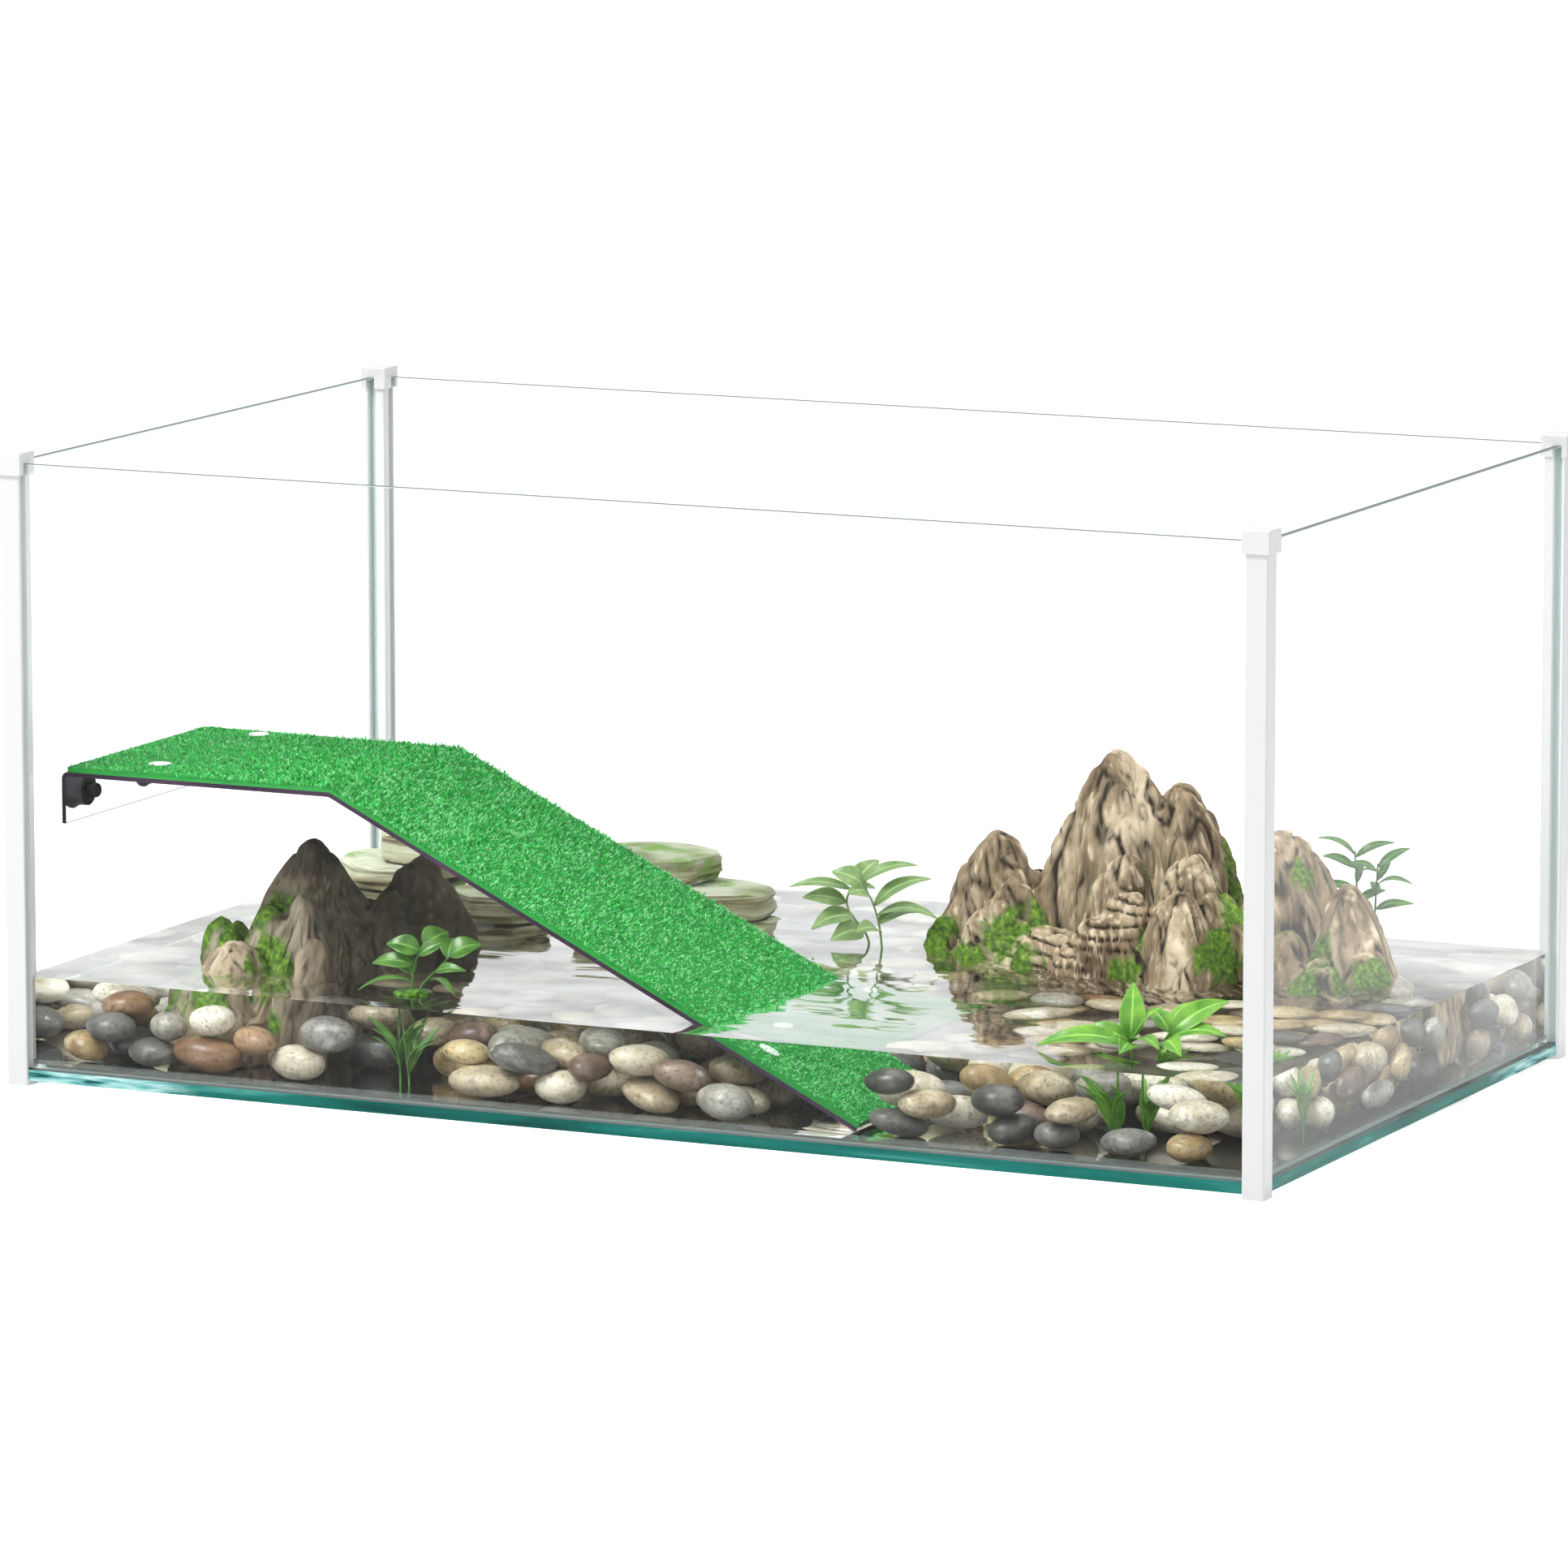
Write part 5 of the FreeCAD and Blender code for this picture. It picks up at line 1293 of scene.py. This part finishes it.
class TANK_OT_studio(bpy.types.Operator):
    """Set up the floor, the lights and the camera"""

    bl_idname = "tank.studio"
    bl_label = "Studio"

    def execute(self, context):
        scene = context.scene
        settings = scene.tank_stage
        floor = primitive(bpy.ops.mesh.primitive_plane_add, size=60.0, location=(0, 0, 0))
        floor.name = "studio_floor"
        finish = Finish("studio_floor")
        paper = finish.principled(
            Base_Color=(0.9, 0.9, 0.9, 1), Roughness=0.9, Specular_IOR_Level=0.0)
        glow = finish.simple("Emission", (1, 1, 1, 1), Strength=0.5)
        both = finish.add("AddShader", {0: paper, 1: glow}).outputs[0]
        floor.data.materials.append(
            finish.done(finish.mix_shader(finish.shows_background(), paper, both)))

        sky = Finish("studio", world=True)
        even, white = [
            sky.simple("Background", (1, 1, 1, 1), Strength=strength)
            for strength in (settings.daylight, 1.0)]
        scene.world = sky.done(sky.mix_shader(sky.shows_background(), even, white))

        lamps = (
            ("key_light", (-1.1, -1.6, 2.2), 1.0, 48.0),
            ("fill_light", (2.0, -1.2, 1.3), 1.6, 8.0),
            ("top_light", (0.2, 0.6, 2.4), 1.6, 12.0),
        )
        for name, place, size, power in lamps:
            bpy.ops.object.light_add(type="AREA", location=place)
            lamp = context.object
            lamp.name = name
            lamp.data.shape = "DISK"
            lamp.data.size = size
            lamp.data.energy = power
            aim = Vector((0, 0, 0.1)) - Vector(place)
            lamp.rotation_euler = aim.to_track_quat("-Z", "Y").to_euler()

        bpy.ops.object.camera_add(
            location=settings.camera_place,
            rotation=(math.pi / 2 - settings.camera_down, settings.camera_roll, settings.camera_turn))
        camera = context.object
        camera.name = "photo_camera"
        camera.data.lens = settings.lens
        camera.data.sensor_width = 36.0
        camera.data.clip_end = 100.0
        scene.camera = camera
        scene.view_settings.view_transform = "Standard"
        return {"FINISHED"}


class TANK_PT_finishes(bpy.types.Panel):
    """Lists the finishes and their settings"""

    bl_label = "Turtle tank"
    bl_idname = "TANK_PT_finishes"
    bl_space_type = "VIEW_3D"
    bl_region_type = "UI"
    bl_category = "Turtle tank"

    def draw(self, context):
        for operator in OPERATORS:
            self.layout.operator(operator.bl_idname)
        for name, group in SETTINGS:
            box = self.layout.box()
            for field in group.__annotations__:
                box.prop(getattr(context.scene, name), field)


OPERATORS = (
    TANK_OT_glass_box,
    TANK_OT_ramp,
    TANK_OT_rocks,
    TANK_OT_slates,
    TANK_OT_pebbles,
    TANK_OT_plants,
    TANK_OT_water,
    TANK_OT_studio,
)


def register():
    for name, group in SETTINGS:
        bpy.utils.register_class(group)
        setattr(bpy.types.Scene, name, bpy.props.PointerProperty(type=group))
    for operator in OPERATORS:
        bpy.utils.register_class(operator)
    bpy.utils.register_class(TANK_PT_finishes)


def unregister():
    bpy.utils.unregister_class(TANK_PT_finishes)
    for operator in reversed(OPERATORS):
        bpy.utils.unregister_class(operator)
    for name, group in reversed(SETTINGS):
        delattr(bpy.types.Scene, name)
        bpy.utils.unregister_class(group)


def build():
    """Dress the whole tank."""
    register()
    bpy.ops.tank.studio()
    bpy.ops.tank.glass_box()
    bpy.ops.tank.ramp()
    bpy.ops.tank.rocks()
    bpy.ops.tank.slates()
    bpy.ops.tank.pebbles()
    bpy.ops.tank.plants()
    bpy.ops.tank.water()


if __name__ == "__main__":
    build()
